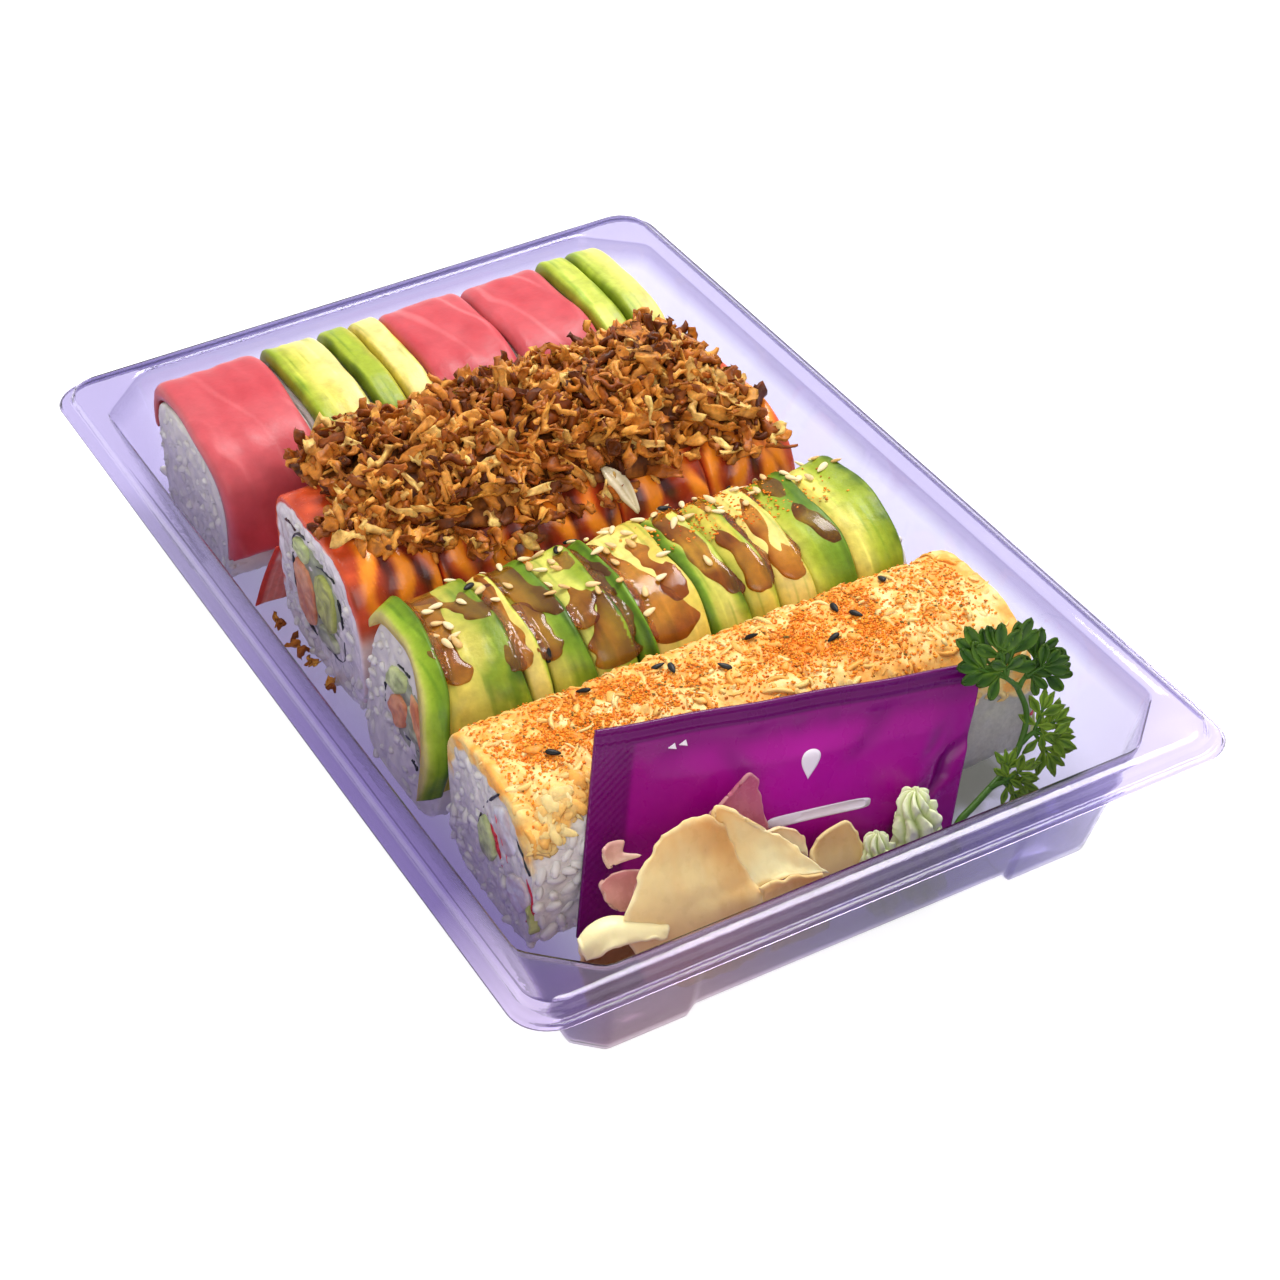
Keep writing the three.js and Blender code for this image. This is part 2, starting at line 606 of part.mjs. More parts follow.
const GINGER = {
  ginger_slice_main: [[[-48.5, -105.4, 36], [-25, -102.6, 43], [-18, -112.0, 8], [-50, -112.8, 8]], 2.0, 0.5, 0.4],
  ginger_slice_fold: [[[-23.2, -103.0, 41], [-3, -107.2, 19.5], [-4, -112.2, 7], [-15.5, -112.6, 8]], 1.2, 0.4, 1.7],
  ginger_slice_curl: [[[-60, -105.6, 23.5], [-52.6, -105.4, 28.5], [-52.2, -112.6, 9], [-58.5, -110.4, 9]], 1.4, 0.4, 2.2],
  ginger_slice_right: [[[-2.4, -103.2, 23], [5.8, -102.6, 22.6], [6.0, -107.5, 7], [0, -107.5, 7]], 0.8, 0.2, 3.1],
  ginger_slice_left: [[[-46, -91.4, 34], [-39, -91.4, 31], [-37.5, -95.2, 20], [-48.5, -94.6, 21]], 0.8, 0.3, 0.9],
  ginger_slice_back: [[[-23.5, -95.0, 33.5], [-11, -94.8, 37.5], [-9, -99.2, 27], [-21, -99.2, 25]], 0.4, 0.2, 2.9],
};
for (const [name, [corners, bulge, ripple, phase]] of Object.entries(GINGER)) {
  addPiece(name, gingerSlice(corners, bulge, ripple, phase), 0xe8cf98, 0.45);
}

// ---------------------------------------------------------------- piped wasabi
// Rosette with spiral ridges, narrowing in steps to a tip
function wasabiRosette(x, y, radius, height, lobes, leanBack) {
  const layers = 7;
  const around = 15;
  const rings = [];
  for (let k = 0; k < layers; k += 1) {
    const t = k / (layers - 1);
    const step = 0.1 * Math.sin(t * Math.PI * 5);
    const size = radius * (mix(1, 0.4, t ** 2.6) + step);
    const centreY = y + leanBack * t;
    const ring = [];
    for (let i = 0; i < around; i += 1) {
      const angle = (i / around) * Math.PI * 2;
      const ridge = 1 + 0.13 * Math.cos(lobes * angle + t * 4.5);
      const reach = size * ridge;
      ring.push([x + reach * Math.cos(angle), centreY + reach * Math.sin(angle), FLOOR_TOP + t * height]);
    }
    rings.push(ring);
  }
  return ringSolid(rings, centreOf(rings[0]), [x + 0.5, y + leanBack, FLOOR_TOP + height + radius * 0.3]);
}
addPiece('wasabi_rosette_1', wasabiRosette(20.8, -108.4, 4.8, 23.5, 6, 2.0), 0xa9cf8e, 0.6);
addPiece('wasabi_rosette_2', wasabiRosette(10.9, -108.4, 3.4, 17, 5, 1.2), 0xa9cf8e, 0.6);

// ---------------------------------------------------------------- parsley sprig
function stemTube(points, radius, steps) {
  const curve = new THREE.CatmullRomCurve3(points.map(vec));
  const outline = new THREE.Shape();
  const sides = 5;
  for (let i = 0; i < sides; i += 1) {
    const angle = (i / sides) * Math.PI * 2;
    const x = radius * Math.cos(angle);
    const y = radius * Math.sin(angle);
    if (i === 0) outline.moveTo(x, y);
    else outline.lineTo(x, y);
  }
  return toManifold(new THREE.ExtrudeGeometry(outline, { steps, extrudePath: curve, bevelEnabled: false }));
}

// Leaf cluster: pointed leaflets fanning out from a root, one thin wavy solid.
// The fan lies in a plane that leans back from the front of the tray.
const FAN_RIGHT = new THREE.Vector3(0.94, -0.33, -0.06).normalize();
const FAN_UP = new THREE.Vector3(0.14, 0.36, 0.92).normalize();
const FAN_FACING = FAN_RIGHT.clone().cross(FAN_UP).normalize();
const LEAF_THICK = 0.5;

function leafCluster({ root, leaflets, length, turns, wave }) {
  const spread = (turns[1] - turns[0]) / (leaflets - 1);
  const rim = [[0.16, turns[0] - 80]];
  for (let k = 0; k < leaflets; k += 1) {
    const turn = turns[0] + k * spread;
    const reach = 1 - 0.14 * (k % 2);
    rim.push([0.34 * reach, turn - spread * 0.48]);
    rim.push([0.78 * reach, turn - spread * 0.3]);
    rim.push([reach, turn]);
    rim.push([0.76 * reach, turn + spread * 0.3]);
  }
  rim.push([0.34, turns[1] + spread * 0.48], [0.16, turns[1] + 80]);
  const place = (share, degrees, rise) => {
    const turn = THREE.MathUtils.degToRad(degrees);
    return vec(root)
      .addScaledVector(FAN_RIGHT, share * length * Math.cos(turn))
      .addScaledVector(FAN_UP, share * length * Math.sin(turn))
      .addScaledVector(FAN_FACING, rise)
      .toArray();
  };
  const points = [];
  for (const side of [-0.5, 0.5]) {
    points.push(place(0.04, (turns[0] + turns[1]) / 2, side * LEAF_THICK + 0.3));
    rim.forEach(([share, degrees], i) => {
      points.push(place(share, degrees, side * LEAF_THICK + wave * share * Math.sin(i * 1.9)));
    });
  }
  const faces = [];
  const count = rim.length;
  for (let i = 0; i < count; i += 1) {
    const j = (i + 1) % count;
    const under = [1 + i, 1 + j];
    const over = [count + 2 + i, count + 2 + j];
    faces.push([0, under[1], under[0]], [count + 1, over[0], over[1]]);
    faces.push([under[0], under[1], over[1]], [under[0], over[1], over[0]]);
  }
  return toManifold(geometryFrom(points, facingOut(points, faces)));
}

const STEM = [
  [27.6, -111, 13],
  [28.9, -109.2, 18.5],
  [34.3, -107.6, 19.7],
  [40.2, -105.5, 21],
  [47.7, -102.4, 21.8],
  [52.6, -99.8, 25.7],
  [55, -98, 31],
  [51.6, -97.6, 39.6],
];
// Stalk from the stem to the fan's root, leaflets, length, first and last turn in degrees
const LEAF_CLUSTERS = [
  { from: [52.4, -97.6, 38.2], root: [48.4, -98.6, 43.2], leaflets: 4, length: 14.5, turns: [72, 160], wave: 1.6 },
  { from: [52.4, -97.6, 38.2], root: [54.0, -97.4, 40.2], leaflets: 3, length: 12.5, turns: [-4, 62], wave: 1.6 },
  { from: [51.9, -100.3, 25.0], root: [54.8, -100.6, 27.0], leaflets: 4, length: 11, turns: [-58, 62], wave: 1.4 },
  { from: [40.2, -105.5, 21.0], root: [43.4, -106, 21.8], leaflets: 4, length: 9, turns: [-50, 70], wave: 1.2 },
];
const sprig = [stemTube(STEM, 0.9, 10)];
for (const cluster of LEAF_CLUSTERS) {
  const { from, root } = cluster;
  sprig.push(stemTube([from, between(from, root, 0.5), between(from, root, 1.1)], 0.7, 2), leafCluster(cluster));
}
addPiece('parsley_sprig', fromManifold(largestBody(fuse(sprig))), 0x3f7a2a, 0.55);

export default group;
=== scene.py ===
"""Takeaway sushi tray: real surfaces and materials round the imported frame.

Lengths are millimetres on the frame's own axes until a mesh is made: X along the rows,
Y from the sachet to the tuna row, Z up. Colours are sRGB from 0 to 255. A place on a row is
given by x along it and a turn round its section: 0 is the front, a quarter the top.
"""
import math

import bpy
import numpy as np
from mathutils import Matrix


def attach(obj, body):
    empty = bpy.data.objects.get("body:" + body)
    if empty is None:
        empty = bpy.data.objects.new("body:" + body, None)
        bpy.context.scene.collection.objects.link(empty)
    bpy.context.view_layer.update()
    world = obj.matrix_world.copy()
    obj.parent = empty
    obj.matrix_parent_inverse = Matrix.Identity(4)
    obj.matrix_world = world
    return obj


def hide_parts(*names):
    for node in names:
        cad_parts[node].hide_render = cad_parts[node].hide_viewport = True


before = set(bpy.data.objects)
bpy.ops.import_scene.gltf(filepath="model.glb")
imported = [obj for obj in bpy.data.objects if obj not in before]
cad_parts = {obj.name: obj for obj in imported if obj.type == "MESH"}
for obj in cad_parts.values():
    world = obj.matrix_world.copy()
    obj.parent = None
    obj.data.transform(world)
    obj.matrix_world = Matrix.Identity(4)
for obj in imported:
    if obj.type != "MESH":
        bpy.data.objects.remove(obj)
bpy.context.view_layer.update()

MM = 0.001
TAU = 2 * math.pi
GAP = 0.35
FLOOR_TOP = 3.95
HIGHEST = 61.2


# ---------------------------------------------------------------- numbers
def mix(a, b, t):
    return a + (b - a) * t


def smooth(t):
    t = np.clip(t, 0.0, 1.0)
    return t * t * (3 - 2 * t)


def blend_colour(a, b, share):
    return mix(np.asarray(a, float), np.asarray(b, float), np.clip(share, 0, 1)[..., None])


def unit(vectors):
    return vectors / np.maximum(np.linalg.norm(vectors, axis=-1, keepdims=True), 1e-9)


def noise(points, size, seed=0):
    """Smooth value noise from -1 to 1 at points (..., 3), with lumps `size` mm apart."""
    p = np.asarray(points, float) / size + seed * 17.31
    cell = np.floor(p).astype(np.int64)
    f = smooth(p - cell)
    total = 0.0
    for corner in range(8):
        step = (corner & 1, corner >> 1 & 1, corner >> 2)
        h = np.zeros(cell.shape[:-1], np.int64)
        weight = 1.0
        for axis, prime in enumerate((73856093, 19349663, 83492791)):
            h = h ^ ((cell[..., axis] + step[axis]) * prime)
            weight = weight * (f[..., axis] if step[axis] else 1 - f[..., axis])
        h = ((h ^ (h >> 13)) * 1274126177) & 0x7FFFFFFF
        total = total + weight * ((h ^ (h >> 15)) & 0xFFFF)
    return total / 32767.5 - 1


def fbm(points, size, octaves=3, seed=0):
    """Noise with finer and weaker layers added."""
    return sum(noise(points, size / 2 ** k, seed + k) / 2 ** k for k in range(octaves))


def stops(at, table):
    """Colour at a place on a list of (place, colour) stops."""
    places, colours = zip(*table)
    return np.stack([np.interp(at, places, channel) for channel in zip(*colours)], -1)


def chaikin(path, times=2, closed=True):
    """Path with its corners cut, so that it runs round."""
    path = np.asarray(path, float)
    for _ in range(times):
        after = np.roll(path, -1, axis=0) if closed else path[1:]
        before = path if closed else path[:-1]
        cut = np.stack([mix(before, after, 0.25), mix(before, after, 0.75)], 1)
        cut = cut.reshape(-1, path.shape[1])
        path = cut if closed else np.concatenate([path[:1], cut, path[-1:]])
    return path


def resample(path, count):
    """Points evenly spaced along an open path."""
    path = np.asarray(path, float)
    steps = np.linalg.norm(np.diff(path, axis=0), axis=1)
    length = np.concatenate([[0], np.cumsum(steps)])
    at = np.linspace(0, length[-1], count)
    return np.stack([np.interp(at, length, column) for column in path.T], -1)


def spline_weights(count, at):
    """Weights (n, count) of a smooth curve through evenly spaced points, at places 0 to 1."""
    at = np.ravel(np.asarray(at, float)) * (count - 1)
    first = np.clip(np.floor(at).astype(int), 0, count - 2)
    t = at - first
    shares = (
        t * ((2 - t) * t - 1) / 2,
        (t * t * (3 * t - 5) + 2) / 2,
        t * ((4 - 3 * t) * t + 1) / 2,
        t * t * (t - 1) / 2,
    )
    weights = np.zeros((len(at), count))
    rows = np.arange(len(at))
    for step, share in zip((-1, 0, 1, 2), shares):
        k = first + step
        past = (k < 0) | (k > count - 1)
        end = np.clip(k, 0, count - 1)
        inner = np.clip(k, 1, count - 2) if count > 2 else 1 - end
        np.add.at(weights, (rows, end), np.where(past, 2, 1) * share)
        np.add.at(weights, (rows, inner), np.where(past, -share, 0))
    return weights


def spline(points, at):
    """Places on a smooth curve through points."""
    points = np.asarray(points, float)
    return (spline_weights(len(points), at) @ points).reshape(*np.shape(at), -1)


def spline_sheet(net, u, v):
    """Places on a smooth sheet through a net of points: u across its columns, v down its rows."""
    net = np.asarray(net, float)
    down, across = spline_weights(net.shape[0], v), spline_weights(net.shape[1], u)
    return np.einsum("nr,rck,nc->nk", down, net, across).reshape(*np.shape(u), 3)


def grid(nu, nv, first_v=0):
    """Shares u and v over a grid of nu by nv cells."""
    return np.meshgrid(np.linspace(0, 1, nu + 1), np.linspace(first_v, 1, nv + 1), indexing="ij")


def bell(distance, width):
    """1 at distance 0, fading to both sides."""
    return np.exp(-((distance / width) ** 2))


# ---------------------------------------------------------------- meshes
def outward(points, faces):
    """The faces of a closed surface, turned so that they look out."""
    p = points - points.mean(0)
    volume = 0.0
    for group in faces:
        corners = p[group]
        for k in range(1, group.shape[1] - 1):
            cross = np.cross(corners[:, k], corners[:, k + 1])
            volume += np.einsum("ij,ij->", corners[:, 0], cross)
    return [group[:, ::-1] for group in faces] if volume < 0 else faces


def ring_solid(rings, first=None, last=None):
    """Closed surface through rings of points (count, around, 3), with a tip at each end."""
    rings = np.asarray(rings)
    count, around = rings.shape[:2]
    first = rings[0].mean(0) if first is None else first
    last = rings[-1].mean(0) if last is None else last
    points = np.concatenate([rings.reshape(-1, 3), [first, last]])
    j = np.arange(around)
    k = (j + 1) % around
    start = np.arange(count - 1)[:, None] * around
    quads = np.stack([start + j, start + k, start + around + k, start + around + j], -1)
    end = (count - 1) * around
    tip = np.full(around, count * around)
    tips = [np.stack([tip, k, j], -1), np.stack([tip + 1, end + j, end + k], -1)]
    return points, outward(points, [quads.reshape(-1, 4), np.concatenate(tips)])


def plate(inner, outer):
    """Closed solid between two grids of points of the same size."""
    rows, columns = inner.shape[:2]
    size = rows * columns
    ids = np.arange(size).reshape(rows, columns)
    quads = np.stack([ids[:-1, :-1], ids[1:, :-1], ids[1:, 1:], ids[:-1, 1:]], -1).reshape(-1, 4)
    rim = np.concatenate([ids[:, 0], ids[-1, 1:], ids[-2::-1, -1], ids[0, -2:0:-1]])
    after = np.roll(rim, -1)
    sides = np.stack([rim, after, after + size, rim + size], -1)
    points = np.concatenate([inner.reshape(-1, 3), outer.reshape(-1, 3)])
    return points, outward(points, [np.concatenate([quads[:, ::-1], quads + size, sides])])


def bead(around, layers, taper=0.0):
    """Unit ellipsoid, narrower towards +X by `taper`, as points and faces."""
    turn = np.arange(around) / around * TAU
    rings = []
    for k in range(1, layers):
        angle = math.pi * k / layers
        width = math.sin(angle) * (1 - taper * 0.5 * (1 - math.cos(angle)))
        x = np.full(around, -math.cos(angle))
        rings.append(np.stack([x, width * np.cos(turn), width * np.sin(turn)], -1))
    return ring_solid(rings, [-1, 0, 0], [1, 0, 0])


def turned(normals, spin):
    """Axes (n, 3, 3): the first two lie across each normal, turned by spin, the third is it."""
    normals = unit(normals)
    helper = np.where(np.abs(normals[:, 2:3]) > 0.9, [[1.0, 0, 0]], [[0, 0, 1.0]])
    side = unit(np.cross(helper, normals))
    other = np.cross(normals, side)
    c, s = np.cos(spin)[:, None], np.sin(spin)[:, None]
    return np.stack([side * c + other * s, other * c - side * s, normals], 1)


def thrown(rng, normals, tilt):
    """Axes round normals tilted at random and turned at random."""
    return turned(normals + rng.normal(0, tilt, normals.shape), rng.uniform(0, TAU, len(normals)))


def each_faces(faces, count, points):
    """Faces of `count` shapes alike, with `points` points each."""
    shift = np.arange(count)[:, None, None] * points
    return [(group[None] + shift).reshape(-1, group.shape[1]) for group in faces]


def copies(shape, at, axes, sizes):
    """Real copies of a shape at each place, as points and faces."""
    points, faces = shape
    placed = at[:, None, :] + np.einsum("npk,nkd->npd", points[None] * sizes[:, None, :], axes)
    return placed.reshape(-1, 3), each_faces(faces, len(at), len(points))


def linear(colour):
    c = np.clip(np.asarray(colour, float), 0, 255) / 255
    return np.where(c <= 0.04045, c / 12.92, ((c + 0.055) / 1.055) ** 2.4)


class Batch:
    """Collects closed shapes with their colours, and makes one piece of them."""

    def __init__(self):
        self.points, self.faces, self.colours, self.count = [], [], [], 0

    def add(self, shape, *colours):
        """Adds a shape. Its colours are one for all, or one for each point in their order."""
        points, faces = shape
        self.points.append(points)
        self.faces += [group + self.count for group in faces]
        tones = np.concatenate([np.reshape(colour, (-1, 3)) for colour in colours])
        self.colours.append(np.broadcast_to(tones, points.shape))
        self.count += len(points)

    def add_each(self, shape, colours):
        """Copies with one colour for each copy."""
        self.add(shape, np.repeat(colours, len(shape[0]) // len(colours), axis=0))

    def make(self, name, finish, slot, *nodes):
        """The collected shapes as one object, in place of the named nodes."""
        mesh = bpy.data.meshes.new(name)
        points = np.concatenate(self.points) * MM
        faces = [face for group in self.faces for face in group.tolist()]
        mesh.from_pydata(points.tolist(), [], faces)
        mesh.polygons.foreach_set("use_smooth", np.ones(len(faces), bool))
        paint = mesh.color_attributes.new("Col", "FLOAT_COLOR", "POINT")
        colours = linear(np.concatenate(self.colours))
        paint.data.foreach_set("color", np.column_stack([colours, np.ones(len(colours))]).ravel())
        mesh.materials.append(finish)
        mesh.update()
        thing = bpy.data.objects.new(name, mesh)
        bpy.context.scene.collection.objects.link(thing)
        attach(thing, "root")
        if nodes:
            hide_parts(*nodes)


def make_piece(name, finish, slot, node, shape, *colours):
    """One shape as a piece of its own."""
    batch = Batch()
    batch.add(shape, *colours)
    batch.make(name, finish, slot, node)


# ---------------------------------------------------------------- materials
def surface(name, rough=0.45, mottle=0.12, mottle_size=2.0, bump=0.3, bump_size=0.7, **sockets):
    """Food surface: the mesh's own colours broken up by noise, fine bumps, uneven gloss."""
    made = bpy.data.materials.new(name)
    made.use_nodes = True
    nodes, links = made.node_tree.nodes, made.node_tree.links
    shader = nodes["Principled BSDF"]
    place = nodes.new("ShaderNodeTexCoord").outputs["Object"]
    paint = nodes.new("ShaderNodeVertexColor")
    paint.layer_name = "Col"

    def texture(size, detail):
        node = nodes.new("ShaderNodeTexNoise")
        node.inputs["Scale"].default_value = 1 / (size * MM)
        node.inputs["Detail"].default_value = detail
        links.new(place, node.inputs["Vector"])
        return node.outputs["Fac"]

    def ranged(value, low, high):
        node = nodes.new("ShaderNodeMapRange")
        for socket, number in (("From Min", 0.3), ("From Max", 0.7), ("To Min", low), ("To Max", high)):
            node.inputs[socket].default_value = number
        links.new(value, node.inputs["Value"])
        return node.outputs["Result"]

    coarse = texture(mottle_size, 4)
    shade = nodes.new("ShaderNodeMix")
    shade.data_type = "RGBA"
    shade.blend_type = "MULTIPLY"
    shade.inputs["Factor"].default_value = 1
    links.new(paint.outputs["Color"], shade.inputs["A"])
    links.new(ranged(coarse, 1 - mottle, 1 + mottle * 0.4), shade.inputs["B"])
    links.new(shade.outputs["Result"], shader.inputs["Base Color"])
    links.new(ranged(coarse, rough - 0.07, rough + 0.09), shader.inputs["Roughness"])
    relief = nodes.new("ShaderNodeBump")
    relief.inputs["Strength"].default_value = bump
    relief.inputs["Distance"].default_value = bump_size * 0.25 * MM
    links.new(texture(bump_size, 3), relief.inputs["Height"])
    links.new(relief.outputs["Normal"], shader.inputs["Normal"])
    for socket, value in sockets.items():
        shader.inputs[socket.replace("_", " ")].default_value = value
    return made


def soft(weight, depth, *tint):
    """Sockets of a surface that lets light a few millimetres in."""
    return {"Subsurface_Weight": weight, "Subsurface_Scale": depth * MM, "Subsurface_Radius": tint}


DULL = {"Specular_IOR_Level": 0.22}
# Each surface: name, roughness, mottle and its size in mm, bumps and their size in mm, sockets
RICE = surface("rice", 0.4, 0.05, 3.0, 0.3, 0.5, **soft(0.5, 2.0, 1, 0.92, 0.88))
TUNA = surface("tuna", 0.36, 0.1, 3.5, 0.2, 1.2, **soft(0.3, 2.5, 1, 0.35, 0.25), **DULL)
AVOCADO = surface("avocado", 0.38, 0.12, 1.6, 0.45, 0.7, **soft(0.15, 1.5, 1, 0.85, 0.3), **DULL)
SKIN = surface("surimi_and_mayonnaise", 0.2, 0.1, 2.0, 0.25, 0.8, Specular_IOR_Level=0.4)
CRAB = surface("shredded_crab", 0.42, 0.14, 1.0, 0.55, 0.5, **soft(0.2, 1.5, 1, 0.7, 0.35), **DULL)
FILLING = surface("fillings", 0.38, 0.16, 1.2, 0.45, 0.5, **soft(0.15, 1.5, 1, 0.6, 0.4), **DULL)
NORI = surface("seaweed", 0.3, 0.3, 0.8, 0.6, 0.4)
ONION = surface("fried_onion", 0.45, 0.3, 0.9, 0.7, 0.4, **soft(0.15, 1.2, 1, 0.55, 0.2), **DULL)
SLIVER = surface("raw_onion", 0.25, 0.06, 1.5, 0.2, 0.6, Alpha=0.8)
SAUCE = surface("brown_sauce", 0.12, 0.08, 4.0, 0.05, 2.0, Transmission_Weight=0.88, IOR=1.4)
SEED = surface("sesame", 0.42, 0.14, 0.8, 0.3, 0.3, **DULL)
SPICE = surface("chilli_powder", 0.6, 0.2, 0.5, 0.4, 0.2, **DULL)
FILM = surface("sachet_film", 0.28, 0.05, 6.0, 0.1, 1.4, Specular_IOR_Level=0.3)
PRINT = surface("sachet_print", 0.35, 0.03, 2.0, 0.1, 0.6, **DULL)
GINGER = surface("pickled_ginger", 0.3, 0.05, 3.0, 0.2, 0.9, **soft(0.35, 2.0, 1, 0.8, 0.5), **DULL)
THIN_GINGER = surface("thin_ginger", 0.25, 0.08, 2.0, 0.2, 0.9, Alpha=0.66, Specular_IOR_Level=0.4)
WASABI = surface("wasabi", 0.5, 0.06, 1.2, 0.6, 0.35, **soft(0.2, 1.0, 0.8, 1, 0.6), **DULL)
PARSLEY = surface("parsley", 0.36, 0.2, 1.6, 0.4, 0.6, **soft(0.1, 0.8, 0.5, 1, 0.2), **DULL)
PLASTIC = surface("clear_tray", 0.08, 0.03, 30.0, 0.04, 6.0, Transmission_Weight=1.0, IOR=1.4)


# ---------------------------------------------------------------- tray
TRAY_HALF = (85, 134.15)
SHEET = 0.6
LIP_RADIUS = 9.5
MOUTH_INSET, MOUTH_CHAMFER = 8.2, 13.5
BASE_INSET, BASE_CHAMFER = 20, 5.5
FOOT_DROP, FOOT_SLOPE, FOOT_END = 3, 3, (41, 90)
FOOT_LEAN = 0.15
# Places along the sides where loops round the tray have points, and shares of the foot's slope
SIDE_X, SIDE_Y = (8, 16, 24, 32), (70, 45, 20)
SLOPE_SHARES = (0, 0.15, 0.5, 0.85, 1)
# Upper side of the sheet from the lip edge inwards: inset, height, share of the foot drop
TRAY_PROFILE = [
    (0.0, 33.4, 0), (0.6, 34.3, 0), (2.6, 34.0, 0), (3.4, 36.8, 0), (4.4, 37.2, 0), (7.8, 37.1, 0),
    (8.9, 36.0, 0), (19.5, 5.0, 1), (21.0, 3.6, 1), (27.5, 3.6, 1), (30.5, 3.6, 0), (36.0, 3.6, 0),
]
# Further rings on the tray's floor, as shares of its last one
FLOOR_SHARES = (0.3, 0.5, 0.68, 0.8, 0.86, 0.92, 0.97)
# Tints of the sheet: plain; painted shade to the left and on the rim; on the lip and the walls near
# the front, with painted shade on those walls; a painted dark line along the mouth, where the bent
# sheet is seen edge on; and a painted shadow on the floor beside the last roll
CLEAR, SHADE_VIOLET, NEAR_LIP, SHADED_NEAR_WALL = (194, 191, 216), (129, 112, 173), (220, 203, 242), (150, 130, 158)
MOUTH_LINE, FLOOR_SHADE = (64, 56, 100), (122, 122, 116)
# Painted shade and food seen through the front wall, along X
FRONT_SHADE_AND_VIEW = [
    (-76, (152, 130, 200)), (-64, (168, 134, 172)), (-52, (188, 148, 150)), (-30, (162, 126, 156)),
    (-8, (120, 98, 156)), (22, (104, 90, 154)), (44, (142, 134, 190)), (60, (200, 196, 226)),
]


def tray_corner(half, inset, count=14):
    """Corner of the tray at an inset: round at the lip, cut off straight from the mouth down."""
    radius = LIP_RADIUS - min(inset, 6.2) * 0.5
    angle = math.pi / 2 * (1 - np.linspace(0, 1, count))
    arc = np.subtract(half, radius) + radius * np.stack([np.cos(angle), np.sin(angle)], -1)
    down = float(np.clip((inset - MOUTH_INSET) / (BASE_INSET - MOUTH_INSET), 0, 1))
    chamfer = mix(MOUTH_CHAMFER, BASE_CHAMFER, down)
    ease = chamfer * 0.3
    first, second = np.array([half[0] - chamfer, half[1]]), np.array([half[0], half[1] - chamfer])
    diagonal = np.array([1, -1]) * ease * math.sqrt(0.5)
    path = [first - [ease, 0], first, first + diagonal, second - diagonal, second, second - [0, ease]]
    cut = resample(chaikin(path, 3, closed=False), count)
    return mix(arc, cut, float(smooth((inset - 4.4) / 3.0)))


def tray_loop(inset, height, drop):
    """One closed loop round the tray, lowered where it belongs to a corner foot."""
    half = (TRAY_HALF[0] - inset, TRAY_HALF[1] - inset)
    slope = [(FOOT_SLOPE * (1 - share), float(smooth(share))) for share in SLOPE_SHARES]
    quarter = [(x, half[1], 0) for x in SIDE_X]
    quarter += [(FOOT_END[0] - back, half[1], foot) for back, foot in slope]
    quarter += [(x, y, 1) for x, y in tray_corner(half, inset)]
    quarter += [(half[0], FOOT_END[1] - back, foot) for back, foot in reversed(slope)]
    quarter += [(half[0], y, 0) for y in SIDE_Y]
    loops = []
    for sign_x, sign_y in ((1, 1), (1, -1), (-1, -1), (-1, 1)):
        part = np.array(quarter, float) * [sign_x, sign_y, 1]
        loops.append(part if sign_x * sign_y > 0 else part[::-1])
    x, y, foot = np.concatenate(loops).T
    lowered = FOOT_DROP * foot * drop
    lean = lowered * FOOT_LEAN
    return np.stack([x - lean * np.sign(x), y - lean * np.sign(y), height - lowered], -1)


def tray_tint(points, inset):
    """Colour of the sheet at points that lie `inset` mm in from the lip's edge."""
    x, y, z = points.T
    # Painted shade: the sheet turns purple towards the left side and on the rim
    left = smooth((-x - 38) / 34) * mix(0.45, 1.0, smooth((60 - y) / 110))
    near = smooth((-y - 92) / 34) * mix(0.35, 0.9, smooth((40 - x) / 90))
    rim = 0.3 * smooth((z - 31) / 3)
    tone = blend_colour(CLEAR, SHADE_VIOLET, np.maximum(left, rim) * (1 - near))
    # Near the front: a paler lip, and painted shade on the walls
    tone = blend_colour(tone, blend_colour(SHADED_NEAR_WALL, NEAR_LIP, smooth((9.6 - inset) / 1.2)), near)
    # Painted shade and food seen through the lower front wall
    wall = smooth((-y - 104) / 14) * smooth((33 - z) / 4)
    tone = blend_colour(tone, stops(x, FRONT_SHADE_AND_VIEW), 0.9 * wall)
    # Painted shadow of the last roll on the tray floor beside it
    roll_shadow = smooth((x - 18) / 8) * smooth((270 + 2.4 * y - x) / 5) * smooth((-60 - y) / 8)
    tone = blend_colour(tone, FLOOR_SHADE, 0.95 * roll_shadow * (z < 8))
    # Painted dark line along the mouth, where the bent sheet is seen edge on
    return blend_colour(tone, MOUTH_LINE, 0.6 * bell(inset - MOUTH_INSET - 0.4, 0.24))


def make_tray():
    upper = chaikin(TRAY_PROFILE, 2, closed=False)
    way = unit(np.gradient(upper[:, :2], axis=0))
    lower = upper.copy()
    lower[:, 0] += way[:, 1] * SHEET
    lower[:, 1] -= way[:, 0] * SHEET
    profile = np.concatenate([upper[::-1], lower])
    rings = np.array([tray_loop(*point) for point in profile])
    floor = np.array(FLOOR_SHARES)[:, None, None] * [1, 1, 0] + [0, 0, 1]
    rings = np.concatenate([rings[0] * floor, rings, rings[-1] * floor[::-1]])
    shape = ring_solid(rings, [0, 0, rings[0][:, 2].mean()], [0, 0, rings[-1][:, 2].mean()])
    far_in = profile[:, 0].max()
    inset = np.pad(profile[:, 0], len(floor), constant_values=far_in)
    inset = np.append(np.repeat(inset, rings.shape[1]), [far_in, far_in])
    make_piece("tray_clear_sheet", PLASTIC, "tray", "tray", shape, tray_tint(shape[0], inset))


make_tray()


# ---------------------------------------------------------------- rows
CUT_GAP = 0.4
ROUND = 1.0
SEEN_RINGS, HIDDEN_RINGS = 46, 5


